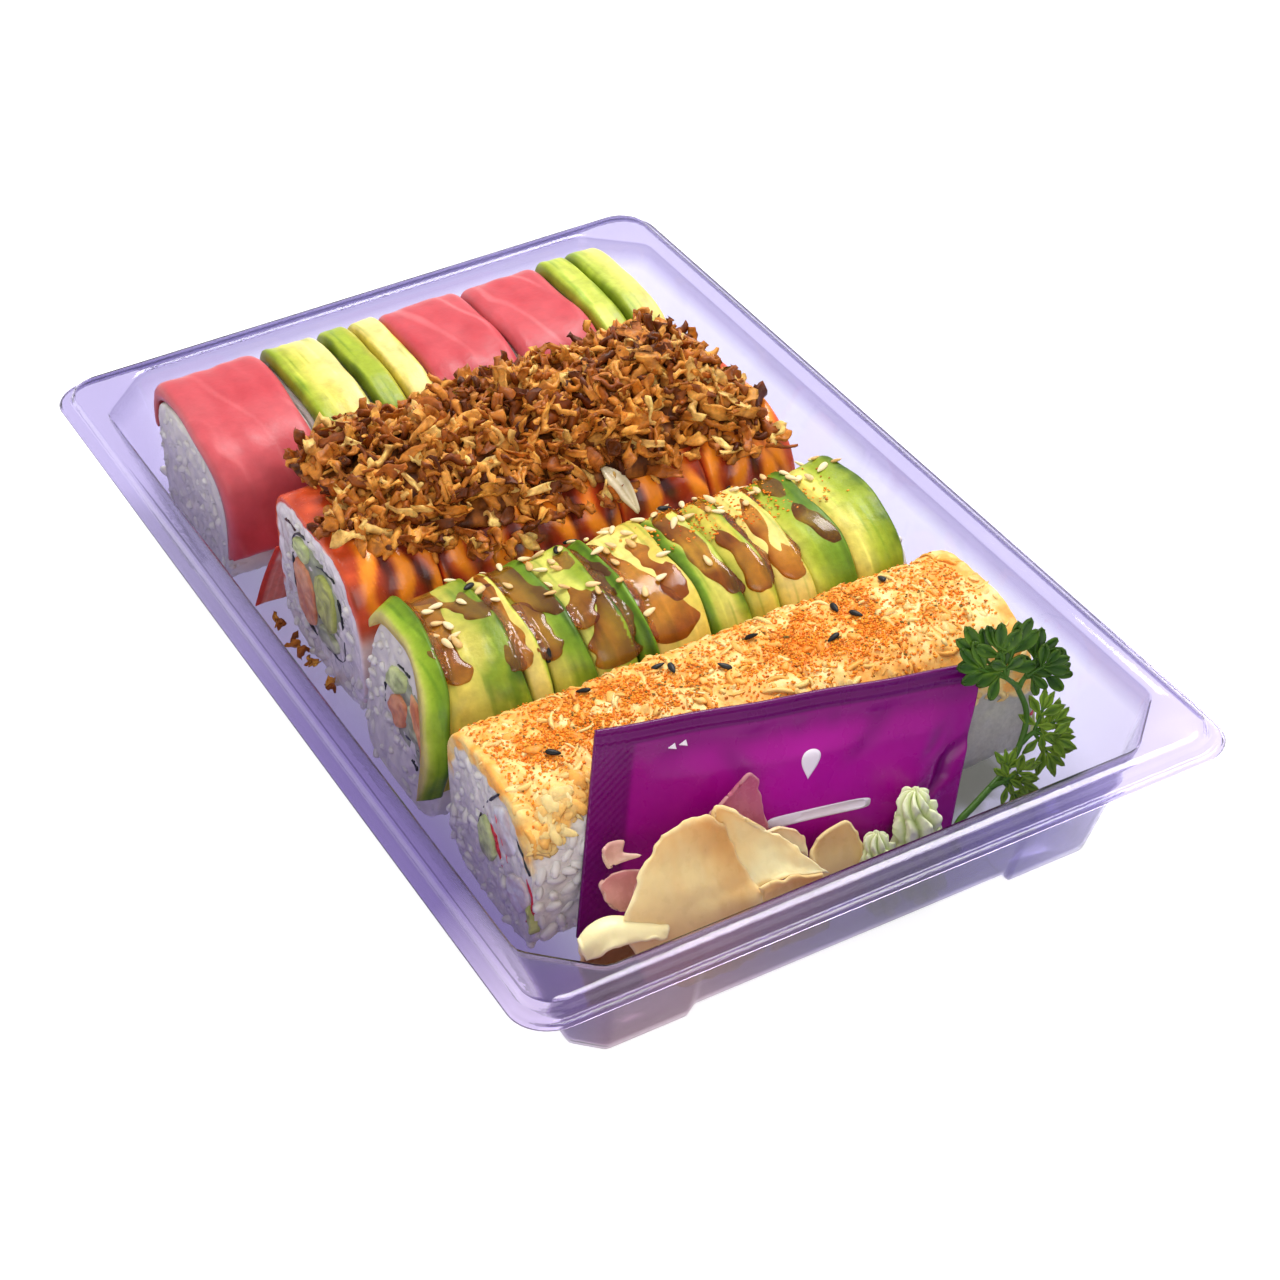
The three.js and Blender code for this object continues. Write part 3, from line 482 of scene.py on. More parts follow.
class Row:
    """A straight row of cut rolls: the shape of its section and where it runs.

    a and b are half its width and its height. front, back and low are the powers of its outline
    in the upper front, the upper back and below: 2 would be an ellipse, more is squarer.
    """

    def __init__(self, y, a, b, x0, x1, front, back, low, askew, lean, cuts):
        self.y, self.a, self.b, self.x0, self.x1 = y, a, b, x0, x1
        self.front, self.back, self.low, self.askew, self.lean = front, back, low, askew, lean
        self.edges = [x0, *cuts, x1]
        self.middle = FLOOR_TOP + b

    def section(self, turn, grow=0.0):
        """Y and Z on the outline grown by `grow`. Turn 0 is the front, a quarter the top."""
        angle = np.asarray(turn) * TAU
        c, s = np.cos(angle), np.sin(angle)
        power = np.where(s > 0, np.where(c > 0, self.front, self.back), self.low)
        share = (np.abs(c) / (self.a + grow)) ** power + (np.abs(s) / (self.b + grow)) ** power
        radius = share ** (-1 / power)
        return self.y - radius * c, self.middle + radius * s

    def place(self, x, y, z):
        """The same place once the row leans at its left end and runs askew."""
        near_left = smooth((self.x0 + 12 - x) / 12)
        low = 1 - np.clip((z - FLOOR_TOP) / (2 * self.b), 0, 1)
        return np.stack(np.broadcast_arrays(x - self.lean * low * near_left, y + self.askew * x, z), -1)

    def at(self, x, turn, grow=0.0):
        return self.place(np.asarray(x, float), *self.section(turn, grow))

    def normal(self, x, turn):
        along = self.at(x + 0.5, turn) - self.at(x - 0.5, turn)
        rising = self.at(x, turn + 0.004) - self.at(x, turn - 0.004)
        return unit(np.cross(along, rising))

    def face(self, side, y, z, out=0.0):
        """Place on the left (-1) or right (1) cut end of the row, `out` mm proud of it."""
        end = self.x0 if side < 0 else self.x1
        return self.place(end + side * out, y, z)


ROWS = {
    "tuna": Row(y=90, a=21.2, b=18.2, x0=-64.5, x1=60.5, front=3.2, back=5.0, low=4.8,
                askew=0, lean=0.5, cuts=[-36.6, -3.8, 19.6, 42.0]),
    "onion": Row(y=28.6, a=24.0, b=20.8, x0=-57.5, x1=58.5, front=3.0, back=4.6, low=4.6,
                 askew=0, lean=0.5, cuts=[-35.2, -11.8, 11.6, 35.0]),
    "avocado": Row(y=-19.8, a=19.6, b=18.1, x0=-54.6, x1=62, front=2.7, back=4.0, low=4.6,
                   askew=-0.02, lean=7.0, cuts=[-35.6, -11.2, 13.2, 37.6]),
    "crab": Row(y=-66.6, a=20.8, b=19.6, x0=-60, x1=64.5, front=2.45, back=4.0, low=4.8,
                askew=0, lean=0.8, cuts=[-34, -10, 13, 36.5]),
}


def unrolled(x, turn, girth=130):
    """Place on a row's side laid flat, for noise. `girth` is about the length once round."""
    return np.stack([x, turn * girth, x * 0], -1)


def signed(turn):
    """Turn from -0.25 to 0.75, so that it runs on below the front."""
    return np.where(turn > 0.75, turn - 1, turn)


def end_rings(x, inward, seen):
    """Rings of a cut end from its middle outwards: x, growth, scale, share of the side."""
    count = SEEN_RINGS if seen else HIDDEN_RINGS
    rings = [(x, -ROUND, (k + 1) / (count + 1), 0) for k in range(count)]
    for angle in np.linspace(0, math.pi / 2, 5):
        back, rise = 1 - math.cos(angle), math.sin(angle)
        rings.append((x + inward * ROUND * back, -ROUND * (1 - rise), 1, rise))
    return rings


def roll_piece(row, x0, x1, paint, lift, left, right, around, step):
    """One cut piece of a row and its colours. `left` and `right` say which cut ends are seen."""
    turn = np.arange(around) / around
    inner = np.linspace(x0 + ROUND, x1 - ROUND, max(3, round((x1 - x0) / step)))[1:-1]
    rings = end_rings(x0, 1, left) + [(x, 0, 1, 1) for x in inner] + end_rings(x1, -1, right)[::-1]
    x, grow, scale, on_side = (np.array(column)[:, None] for column in zip(*rings))
    grow = grow + lift(x + 0 * turn, turn + 0 * x) * on_side
    y, z = row.section(turn, grow)
    depth = (1 - scale) * np.hypot(y - row.y, z - row.middle)
    y, z = row.y + scale * (y - row.y), row.middle + scale * (z - row.middle)
    flat = np.stack(np.broadcast_arrays(x, y, z), -1)
    ragged = (0.45 * fbm(flat, 2.4, 2, 5) + 0.35 * noise(flat, 7, 15)) * (scale < 1)
    points = row.place(x + ragged * np.where(x < (x0 + x1) / 2, -1, 1), y, z)
    colours = paint(flat, turn + 0 * x, depth, 1 - on_side + 0 * turn)
    return ring_solid(points), colours, colours[0, 0], colours[-1, 0]


def make_rolls(key, node, finish, slot, paint, lift, around=104, step=1.1):
    """Every cut piece of a row. The first and the last one show a cut end."""
    edges = ROWS[key].edges
    last = len(edges) - 2
    for i, (x0, x1) in enumerate(zip(edges, edges[1:])):
        x0 += CUT_GAP / 2 * (i > 0)
        x1 -= CUT_GAP / 2 * (i < last)
        roll = roll_piece(ROWS[key], x0, x1, paint, lift, i == 0, i == last, around, step)
        make_piece(f"{node}_{i + 1}_body", finish, slot, f"{node}_{i + 1}", *roll)


RICE_COLOUR, RICE_SHADE = (242, 236, 228), (218, 212, 210)


def rice_paint(p):
    return blend_colour(RICE_COLOUR, RICE_SHADE, 0.5 + 0.6 * fbm(p, 2.4, 2, 3))


def rice_lift(x, turn):
    return 0.3 * fbm(unrolled(x, turn), 2.6, 2, 9) - 0.25


def plain_rice(p, turn, depth, on_end):
    return rice_paint(p)


# ---------------------------------------------------------------- slices bent over the rows
def rounded_edge(u, v, length, width, radius):
    """0 at a plate's edge and 1 from `radius` inwards, as a quarter circle."""
    share = np.minimum(np.minimum(u, 1 - u) * length, np.minimum(v, 1 - v) * width) / radius
    return np.sqrt(np.clip(1 - (1 - np.clip(share, 0, 1)) ** 2, 0, 1))


def slice_place(u, v, length, width, number):
    """Place on a slice laid flat, for noise that differs from slice to slice."""
    return np.stack([u * length, v * width, u * 0 + number * 40], -1)


def make_slice(node, row, finish, slot, span, turns, cells, thickness, shift, paint):
    """A slice over a row: u runs round the row from turn to turn, v along it over the span.

    thickness(u, v) and shift(u, v), along the row, are in mm; paint(u, v, x, turn) gives the
    colours of the under and the upper side.
    """
    u, v = grid(*cells)
    turn = mix(*turns, u)
    x = mix(*span, v) + shift(u, v)
    shape = plate(row.at(x, turn, GAP), row.at(x, turn, GAP + thickness(u, v)))
    make_piece(f"{node}_flesh", finish, slot, node, shape, *paint(u, v, x, turn))


TUNA_THICK, BACK_AVOCADO_THICK = 3.1, 3.6
TUNA_SLICES = [(-64.6, -37.4), (-3.4, 19.2), (20.0, 41.6)]
TUNA_RED, TUNA_DEEP, TUNA_FIBRE, TUNA_EDGE = (202, 87, 94), (194, 62, 72), (242, 160, 160), (240, 165, 165)
BACK_AVOCADO = [(-35.6, -21.2), (-20.2, -12.4), (-11.8, -4.2), (42.4, 50.4), (51.0, 60.2)]
GREEN, DEEP_GREEN, RIM_GREEN, LIME = (134, 152, 34), (84, 106, 18), (64, 92, 14), (160, 176, 46)
YELLOW, CREAM, YELLOW_GREEN = (226, 200, 88), (246, 222, 130), (206, 190, 78)
# Tones across each avocado slice, from its left to its right edge
BACK_LOOKS = [
    [(0, GREEN), (0.1, LIME), (0.4, (214, 206, 92)), (0.62, CREAM), (0.95, (242, 226, 150)), (1, YELLOW)],
    [(0, DEEP_GREEN), (0.15, LIME), (0.7, LIME), (1, YELLOW_GREEN)],
    [(0, YELLOW_GREEN), (0.15, CREAM), (0.8, (244, 226, 146)), (1, YELLOW)],
    [(0, LIME), (0.3, (204, 212, 92)), (0.8, (190, 200, 78)), (1, GREEN)],
    [(0, GREEN), (0.25, (186, 198, 80)), (0.7, (226, 214, 120)), (1, CREAM)],
]


def make_tuna(i, span):
    """One slice of tuna. The first one lies more askew than the others."""
    width = span[1] - span[0]

    def thickness(u, v):
        place = slice_place(u, v, 60, width, i)
        edge = 0.35 + 0.65 * rounded_edge(u, v, 62, width, 2.6)
        seams = 0.077 * np.sin(v * width * 0.85 + u * 7 + 2.2 * noise(place, 14, i))
        return (TUNA_THICK + seams) * edge + 0.2 * np.sin(u * 9 + i * 2) + 0.25 * noise(place, 7, i)

    def shift(u, v):
        return u - 0.5 + 0.5 * np.sin(u * 11) if i == 0 else 0.3 * np.sin(u * 13 + i)

    def paint(u, v, x, turn):
        place = unrolled(x, turn)
        # Painted shade: the red deepens low on the front of the slice
        low = smooth((0.1 - turn) * 7)
        red = blend_colour(TUNA_RED, TUNA_DEEP, 0.35 + 0.5 * fbm(place, 12, 2, i) + 0.1 * low)
        fibre = np.sin(x * 0.55 + turn * 21 + 1.6 * noise(place, 9, 3 + i))
        pale = smooth((fibre - 0.86) * 6) * smooth(0.4 + noise(place, 10, 8))
        red = blend_colour(red, TUNA_FIBRE, 0.45 * pale)
        red = blend_colour(red, TUNA_EDGE, 0.35 * (1 - rounded_edge(u, v, 62, width, 3.2)))
        # Under side painted a little darker, as shade
        return red * 0.9, red

    node = f"tuna_slice_{i + 1}"
    make_slice(node, ROWS["tuna"], TUNA, "tuna", span, (-0.05, 0.45), (96, 40), thickness, shift, paint)


def fibres(place, tone):
    """Fine pale and dark streaks along an avocado slice."""
    long = place * [1, 0.1, 1]
    tone = blend_colour(tone, tone * [0.8, 0.87, 0.74], smooth(1.8 * noise(long, 0.9, 31) - 0.3))
    tone = blend_colour(tone, tone * 1.1 + 6, smooth(1.6 * noise(long, 0.9, 37) - 0.4))
    return blend_colour(tone, tone * 0.93, smooth(1.5 * noise(place, 2.2, 33)))


def make_back_avocado(i, span):
    """One slice of avocado on the back row."""
    width = span[1] - span[0]

    def thickness(u, v):
        place = slice_place(u, v, 50, width, i)
        edge = 0.3 + 0.7 * rounded_edge(u, v, 50, width, 1.5)
        fine = 0.3 * noise(place, 5, i) + 0.14 * noise(place * [0.3, 1, 1], 1.6, i)
        return BACK_AVOCADO_THICK * edge * (0.85 + 0.15 * np.sin(u * math.pi)) + fine

    def shift(u, v):
        return 0.6 * np.sin(u * 6 + i) * (1 - np.abs(2 * v - 1))

    def paint(u, v, x, turn):
        place = unrolled(x, turn)
        tone = fibres(place, stops(v + 0.09 * fbm(place, 5, 2, i), BACK_LOOKS[i]))
        # Under side painted a little darker, as shade
        return tone * 0.92, tone

    cells = (80, round(width * 2.4))
    node = f"avocado_back_{i + 1}"
    make_slice(node, ROWS["tuna"], AVOCADO, "avocado", span, (0.05, 0.45), cells, thickness, shift, paint)


make_rolls("tuna", "rice_block", RICE, "rice", plain_rice, rice_lift)
for number, span in enumerate(TUNA_SLICES):
    make_tuna(number, span)
for number, span in enumerate(BACK_AVOCADO):
    make_back_avocado(number, span)


# ---------------------------------------------------------------- second row
# Crab-stick skin with stripes of spicy mayonnaise and dark sauce; the stripes' places are along X
SURIMI, SURIMI_DEEP, MAYO, DARK_SAUCE = (224, 88, 44), (168, 52, 22), (255, 148, 38), (74, 24, 20)
SKIN_PALE, SKIN_WHITE = (232, 206, 200), (246, 238, 236)
MAYO_STRIPES = [-52, -45, -37, -29, -20, -13, -4, 5, 12, 19, 31, 38, 43.5, 49.5, 55]
SAUCE_STRIPES = [-48.5, -40.5, -33, -24.5, -16.5, -8.5, 0.5, 8.5, 15.5, 25, 34.5, 41, 46.5, 52.5]
SKIN_GIRTH = 150


def stripes(x, turn, places, width, seed):
    """How far a point lies on one of the wavy stripes that run down the front shoulder."""
    total = 0.0
    for k, place in enumerate(places):
        sway = 1.4 * np.sin(turn * 45 + k * 1.7 + seed) + (0.12 - turn) * 14 * math.sin(k * 2.1)
        lump = 0.75 + 0.25 * np.sin(turn * 60 + k * 2.3)
        total = np.maximum(total, lump * bell(x - place - sway, width) ** 1.4)
    return total * smooth((turn - 0.02) * 22) * smooth((0.30 - turn) * 14)


def mayo_stripes(x, turn):
    return stripes(x, turn, MAYO_STRIPES, 2.6, 1)


def mayo_lift(x, turn):
    fine = 0.15 * noise(unrolled(x, turn, SKIN_GIRTH), 3, 4)
    return 1.5 * np.sqrt(mayo_stripes(x, turn)) + fine - 0.3


def onion_row_paint(p, turn, depth, on_end):
    """Skin with its stripes over rice; on the cut ends a white band under a thin red line."""
    x = p[..., 0]
    place = unrolled(x, turn, SKIN_GIRTH)
    wet = blend_colour(SURIMI, SURIMI_DEEP, 0.5 + 0.6 * fbm(place, 4, 2, 2))
    smear = 0.5 * smooth(noise(place, 6, 12)) * smooth((turn - 0.04) * 20)
    sauce = stripes(x, turn, SAUCE_STRIPES, 2.0, 3) + smear
    wet = blend_colour(wet, DARK_SAUCE, 0.9 * sauce * smooth((0.28 - turn) * 12))
    wet = blend_colour(wet, MAYO, 2.5 * mayo_stripes(x, turn) - 0.45)
    around = signed(turn)
    covered = smooth((around + 0.17) * 60) * smooth((0.56 - around) * 60)
    wet = blend_colour(wet, SKIN_PALE, smooth((0.045 - around) * 22))
    rice = rice_paint(p)
    band = blend_colour(rice, SKIN_WHITE, smooth((3.6 - depth) * 2) * covered)
    red_depth = 0.55 + 0.5 * noise(p, 3, 7) + 0.5 * smooth((around - 0.2) * 6)
    thin_red = smooth((red_depth - depth) * 3) * covered * smooth((around - 0.02) * 16)
    side = blend_colour(rice, wet, covered)
    return blend_colour(side, blend_colour(band, SURIMI, thin_red), on_end * 1.2)


make_rolls("onion", "onion_roll", SKIN, "surimi_roll", onion_row_paint, mayo_lift, around=130, step=0.8)

# ---------------------------------------------------------------- third row
AVOCADO_EDGES = [-56.2, -50.2, -34.4, -29.7, -20, -9.5, -4.6, 9, 19, 27, 36, 47.6, 61.6]
SLICE_TURNS = (-0.05, 0.4)
FIRST_THICKER = 1.1
SLICE_LOOKS = [
    [(0, (214, 204, 120)), (0.1, (176, 190, 70)), (0.3, (140, 168, 40)), (0.7, (108, 140, 26)),
     (1, RIM_GREEN)],
    [(0, YELLOW), (0.3, (206, 192, 88)), (0.5, (184, 180, 76)), (0.68, (122, 144, 38)), (0.86, GREEN),
     (1, RIM_GREEN)],
    [(0, YELLOW_GREEN), (0.15, CREAM), (0.75, (232, 216, 112)), (0.92, LIME), (1, DEEP_GREEN)],
    [(0, YELLOW_GREEN), (0.3, (190, 192, 76)), (0.5, (132, 158, 38)), (0.8, (96, 128, 26)), (1, RIM_GREEN)],
    [(0, (216, 210, 104)), (0.5, (206, 208, 94)), (0.7, (158, 178, 52)), (0.88, GREEN), (1, RIM_GREEN)],
    [(0, (70, 98, 16)), (0.3, (112, 150, 32)), (0.55, (74, 104, 18)), (0.8, (112, 148, 32)), (1, RIM_GREEN)],
    [(0, CREAM), (0.55, (238, 218, 120)), (0.85, YELLOW), (1, YELLOW_GREEN)],
    [(0, RIM_GREEN), (0.2, (112, 146, 32)), (0.32, (200, 200, 86)), (0.7, (224, 216, 112)), (0.9, LIME),
     (1, DEEP_GREEN)],
    [(0, (186, 182, 68)), (0.35, YELLOW_GREEN), (0.7, YELLOW), (0.9, LIME), (1, RIM_GREEN)],
    [(0, YELLOW), (0.3, CREAM), (0.8, (240, 224, 128)), (1, YELLOW_GREEN)],
    [(0, (208, 204, 92)), (0.3, LIME), (0.6, (122, 152, 36)), (0.85, (92, 124, 24)), (1, RIM_GREEN)],
    [(0, YELLOW), (0.3, (224, 216, 108)), (0.58, LIME), (0.82, GREEN), (1, RIM_GREEN)],
]


def edge_shift(x, turn):
    """Shift of the slices' edges to the left, low at the left end and high at the right one."""
    left = smooth((-24 - x) / 26) * smooth((0.27 - turn) * 5)
    right = smooth((x - 44) / 16) * ((turn - 0.24) / 0.2) ** 2
    return -4.5 * left - 4.5 * np.minimum(1, right)


def slice_index(x, turn):
    """Which slice covers a place, and how far across it the place lies."""
    edges = np.array(AVOCADO_EDGES)
    flat = x - edge_shift(x, turn)
    flat = x - edge_shift(flat, turn)
    i = np.clip(np.searchsorted(edges, flat) - 1, 0, len(edges) - 2)
    return i, np.clip((flat - edges[i]) / (edges[i + 1] - edges[i]), 0, 1)


def thin_ends(u):
    return mix(0.4, 1, smooth(np.minimum(u, 1 - u) * 6))


def slice_top(x, turn):
    """Height of the avocado layer above the row at a place."""
    i, v = slice_index(x, turn)
    u = (turn - SLICE_TURNS[0]) / (SLICE_TURNS[1] - SLICE_TURNS[0])
    return GAP + (mix(2.3, 3.9, v) + np.where(i == 0, FIRST_THICKER, 0)) * thin_ends(u)


def make_avocado(i):
    """One of the overlapping slices, thickest at its right edge."""
    span = (AVOCADO_EDGES[i] + GAP * 0.5, AVOCADO_EDGES[i + 1] - GAP * 0.5)
    width = span[1] - span[0]

    def thickness(u, v):
        place = slice_place(u, v, 50, width, i)
        edge = 0.3 + 0.7 * rounded_edge(u, 0.5 + 0.5 * v, 60, width * 2, min(1.3, width * 0.3))
        fine = 0.24 * noise(place, 4.5, i) + 0.13 * noise(place * [0.3, 1, 1], 1.4, i)
        return (mix(1.6, 4.3, v ** 0.7) + FIRST_THICKER * (i == 0)) * thin_ends(u) * edge + fine

    def shift(u, v):
        return edge_shift(mix(*span, v), mix(*SLICE_TURNS, u)) + 0.35 * np.sin(u * 17 + i * 3 + v) * v

    def paint(u, v, x, turn):
        place = unrolled(x, turn)
        tone = fibres(place, stops(v + 0.13 * fbm(place, 6, 3, i) * (0.4 + v), SLICE_LOOKS[i]))
        # Painted shade: darker low on the front of the row
        tone = blend_colour(tone, tone * 0.9, smooth((0.06 - turn) * 12))
        return blend_colour(YELLOW, CREAM, 0.5 + 0.5 * noise(place, 4, 2)), tone

    cells = (90, max(12, round(width * 2.4)))
    node = f"avocado_slice_{i + 1}"
    make_slice(node, ROWS["avocado"], AVOCADO, "avocado", span, SLICE_TURNS, cells, thickness, shift, paint)


make_rolls("avocado", "avocado_roll", RICE, "rice_roll", plain_rice, rice_lift)
for number in range(len(AVOCADO_EDGES) - 1):
    make_avocado(number)


# ---------------------------------------------------------------- front row
CRAB_PALE, CRAB_CREAM, CRAB_ORANGE = (255, 228, 160), (255, 207, 122), (255, 172, 74)
CRAB_DEEP, CRAB_RICE_SHADE = (248, 136, 34), (182, 182, 164)
# Place along X and the turn at which the topping ends there on the front
CRAB_EDGE = [
    (-61, 0.035), (-58.2, 0.05), (-52, 0.085), (-45, 0.11), (-38, 0.1), (-20, 0.06), (20, 0.05), (50, 0.02),
    (66, 0.0),
]
# Shares and tones of the chilli powder
POWDER_LOOKS = [
    (0.34, (255, 152, 34)), (0.22, (244, 124, 20)), (0.2, (255, 170, 54)),
    (0.1, (198, 104, 24)), (0.08, (236, 160, 58)), (0.06, (122, 100, 40)),
]
# Proportions of a chip of the topping and of a powder grain on each of the two rows
CHIP_SIZE, POWDER_SIZE, THIN_POWDER_SIZE = [1.5, 1.0, 0.42], [1.3, 0.9, 0.45], [1.2, 0.9, 0.5]


def crab_edge(x):
    """Turn at which the topping ends on the front of the row."""
    return np.interp(x, *zip(*CRAB_EDGE))


def crab_cover(x, turn):
    """How far the topping covers a place."""
    around = signed(turn)
    ragged = 0.02 * noise(unrolled(x, turn), 4, 6)
    return smooth((around - crab_edge(x) + ragged) * 60) * smooth((0.46 - around + ragged) * 40)


def crab_chips(place):
    """Noise of the topping's flat chips."""
    return noise(place * [1, 0.7, 1], 1.7, 41)


def crab_lift(x, turn):
    place = unrolled(x, turn)
    lumps = 0.25 * np.sin(x * 0.9 + turn * 31) * np.sin(x * 0.37 - turn * 17)
    chips = 0.3 * smooth(1.7 * crab_chips(place)) + 0.17 * noise(place, 1.1, 43)
    topping = lumps + 0.36 * fbm(place, 4.0, 2, 3) + chips
    return mix(rice_lift(x, turn) - 0.7, topping, crab_cover(x, turn))


def crab_tone(p, turn):
    place = unrolled(p[..., 0], turn)
    tone = blend_colour(CRAB_PALE, CRAB_CREAM, 0.5 + 0.9 * fbm(place, 2.4, 3, 4))
    tone = blend_colour(tone, CRAB_ORANGE, 0.8 * smooth(0.1 + fbm(place, 8, 3, 14)))
    return blend_colour(tone, CRAB_ORANGE, 0.75 * smooth(0.2 - 2.2 * crab_chips(place)))


def powder_tint(x, turn):
    """How strongly the chilli powder colours the topping at a place."""
    place = unrolled(x, turn)
    share = np.clip(0.3 + 0.8 * bell(x - 28, 15) + 0.55 * bell(x + 34, 18), 0, 1)
    patch = smooth(0.5 + 0.9 * noise(place, 5, 21) + 0.5 * noise(place, 1.6, 22))
    return np.clip(share * bell(turn - 0.28, 0.095) * patch * 1.4, 0, 1)


def crab_row_paint(p, turn, depth, on_end):
    """Powdered topping over rice; the topping is seen as a rim on the cut ends."""
    x = p[..., 0]
    cover = crab_cover(x, turn)
    plain, rice = crab_tone(p, turn), rice_paint(p)
    topping = blend_colour(plain, CRAB_DEEP, 0.9 * powder_tint(x, turn))
    side = blend_colour(rice, topping, cover)
    # Painted shade: the bare rice at the right end turns grey
    side = blend_colour(side, CRAB_RICE_SHADE, 0.8 * smooth((x - 38) / 8) * (1 - cover))
    rim = smooth((3.0 + 0.8 * noise(p, 3, 2) - depth) * 2) * cover
    return blend_colour(side, blend_colour(rice, plain, rim), on_end)


make_rolls("crab", "crab_roll", CRAB, "crab_roll", crab_row_paint, crab_lift, around=200, step=0.6)


def strands(row, x, turn, heading, length, width, grow, steps=5, sides=4):
    """Thin shreds lying on a row, as one shape of copies."""
    s = np.linspace(-0.5, 0.5, steps + 1)[None, :]
    angle = heading[:, None] + 0.9 * np.sin(x * 7.3 + turn * 90)[:, None] * s
    path_x = x[:, None] + length[:, None] * s * np.cos(angle)
    path_turn = turn[:, None] + length[:, None] * s * np.sin(angle) * 0.0078
    arch = 0.5 * (1 - 4 * s * s) - 0.35
    centre = row.at(path_x, path_turn, grow[:, None] + arch)
    up = row.normal(path_x, path_turn)
    across = unit(np.cross(up, unit(np.gradient(centre, axis=1))))
    radius = (width[:, None] / 2 * np.sqrt(np.clip(1.04 - (2 * s) ** 4, 0.04, 1)))[..., None]
    rings = []
    for k in range(sides):
        angle = k / sides * TAU
        rings.append(centre + across * radius * math.cos(angle) + up * radius * 0.45 * math.sin(angle))
    rings = np.stack(rings, 2)
    points = np.concatenate([rings.reshape(len(x), -1, 3), centre[:, :1], centre[:, -1:]], 1)
    _, faces = ring_solid(rings[0], centre[0, 0], centre[0, -1])
    return points.reshape(-1, 3), each_faces(faces, len(x), points.shape[1])


def crumbs(batch, at, sizes, axes, tones, around=14, layers=10, shade=0.66):
    """Rough lumps, each its own shape."""
    points, faces = bead(around, layers)
    each = points[None] * sizes[:, None, :]
    spot = each + np.arange(len(at))[:, None, None] * 7.3
    each = each * (1 + 0.42 * noise(spot, 1.6, 3) + 0.3 * noise(spot, 0.8, 5))[..., None]
    placed = at[:, None] + np.einsum("npk,nkd->npd", each, axes)
    placed[..., 2] = np.minimum(placed[..., 2], HIGHEST)
    tone = np.repeat(tones[:, None], len(points), 1)
    tone = blend_colour(tone, tone * shade, 0.2 - 1.2 * noise(spot, 1.1, 5))
    batch.add((placed.reshape(-1, 3), each_faces(faces, len(at), len(points))), tone)


def shred_tones(rng, x, turn, orange, start):
    """Tones of loose shreds and chips, orange in patches."""
    tone = blend_colour(CRAB_PALE, CRAB_CREAM, rng.random(len(x)))
    patch = smooth(start + noise(unrolled(x, turn), 9, 14) + rng.normal(0, 0.35, len(x)))
    return blend_colour(tone, CRAB_ORANGE, orange * patch)


def add_shreds(batch, rng, count=700):
    row = ROWS["crab"]
    x = rng.uniform(row.x0 + 1.0, row.x1 - 1.0, count)
    turn = crab_edge(x) + 0.008 + (0.43 - crab_edge(x)) * rng.random(count) ** 0.95
    heading = rng.uniform(0, math.pi, count)
    length = 2 + 6 * rng.random(count) ** 2
    width = rng.uniform(0.7, 1.8, count)
    grow = crab_lift(x, turn) + rng.uniform(-0.5, 0.05, count)
    from_end = np.minimum(x - row.x0, row.x1 - x)
    length = np.minimum(length, 2.2 * from_end + 2)
    tone = shred_tones(rng, x, turn, 0.9, 0.1)
    deep = 0.6 * (rng.random(count) < 0.05)
    deep = deep + 0.75 * powder_tint(x, turn) * rng.random(count)
    shape = strands(row, x, turn, heading, length, width, grow)
    batch.add_each(shape, blend_colour(tone, CRAB_DEEP, deep))


def add_chips(batch, rng, count=560, hanging=70):
    """Fine chips all over, and larger ones where the topping hangs over at the left end."""
    row = ROWS["crab"]
    x = np.append(rng.uniform(row.x0 + 1.2, row.x1 - 1.2, count), rng.uniform(-57, -38, hanging))
    total = len(x)
    fine = np.arange(total) < count
    turn = crab_edge(x) + 0.004 + np.where(fine, 0.43 - crab_edge(x), 0.05) * rng.random(total)
    at = row.at(x, turn, crab_lift(x, turn) + rng.uniform(-0.5, -0.12, total))
    sizes = rng.uniform(0.5, 1.2, (total, 1)) * rng.uniform(0.7, 1.4, (total, 3)) * CHIP_SIZE
    axes = thrown(rng, row.normal(x, turn), 0.2)
    tone = blend_colour(shred_tones(rng, x, turn, 0.8, 0.2), CRAB_DEEP, 0.9 * powder_tint(x, turn))
    crumbs(batch, at, sizes * np.where(fine, 1.0, 1.7)[:, None], axes, tone, around=10, layers=7, shade=0.9)


def make_topping():
    rng = np.random.default_rng(71)
    batch = Batch()
    add_shreds(batch, rng)
    add_chips(batch, rng)
    batch.make("crab_topping_shreds", CRAB, "crab_roll")


def drawn_tones(rng, looks, count):
    """Random tones from a list of (share, tone), each as often as its share says."""
    shares, tones = zip(*looks)
    return np.array(tones, float)[rng.choice(len(tones), count, p=shares)]


def powder_on_crab(batch, rng, grain, tries=26000):
    row = ROWS["crab"]
    x = rng.uniform(row.x0 + 2, row.x1 - 4, tries)
    turn = rng.normal(0.25, 0.09, tries)
    wanted = 0.12 + 0.88 * powder_tint(x, turn)
    keep = (rng.random(tries) < wanted) & (turn > crab_edge(x) + 0.03) & (turn < 0.42)
    x, turn = x[keep], turn[keep]
    count = len(x)
    at = row.at(x, turn, crab_lift(x, turn) + rng.uniform(0.0, 0.3, count))
    axes = turned(row.normal(x, turn), rng.uniform(0, TAU, count))
    sizes = (0.15 + 0.26 * rng.random((count, 1)) ** 1.5) * POWDER_SIZE
    batch.add_each(copies(grain, at, axes, sizes), drawn_tones(rng, POWDER_LOOKS, count))


def powder_on_avocado(batch, rng, grain, count=420):
    row = ROWS["avocado"]
    x = np.clip(rng.normal(30, 11, count), -4, 56)
    turn = rng.uniform(0.24, 0.38, count)
    at = row.at(x, turn, slice_top(x, turn) + 0.25)
    sizes = rng.uniform(0.2, 0.42, (count, 1)) * THIN_POWDER_SIZE
    tones = np.array([tone for _, tone in POWDER_LOOKS[:4]])[rng.choice(4, count)]
    batch.add_each(copies(grain, at, turned(row.normal(x, turn), x * 3), sizes), tones)


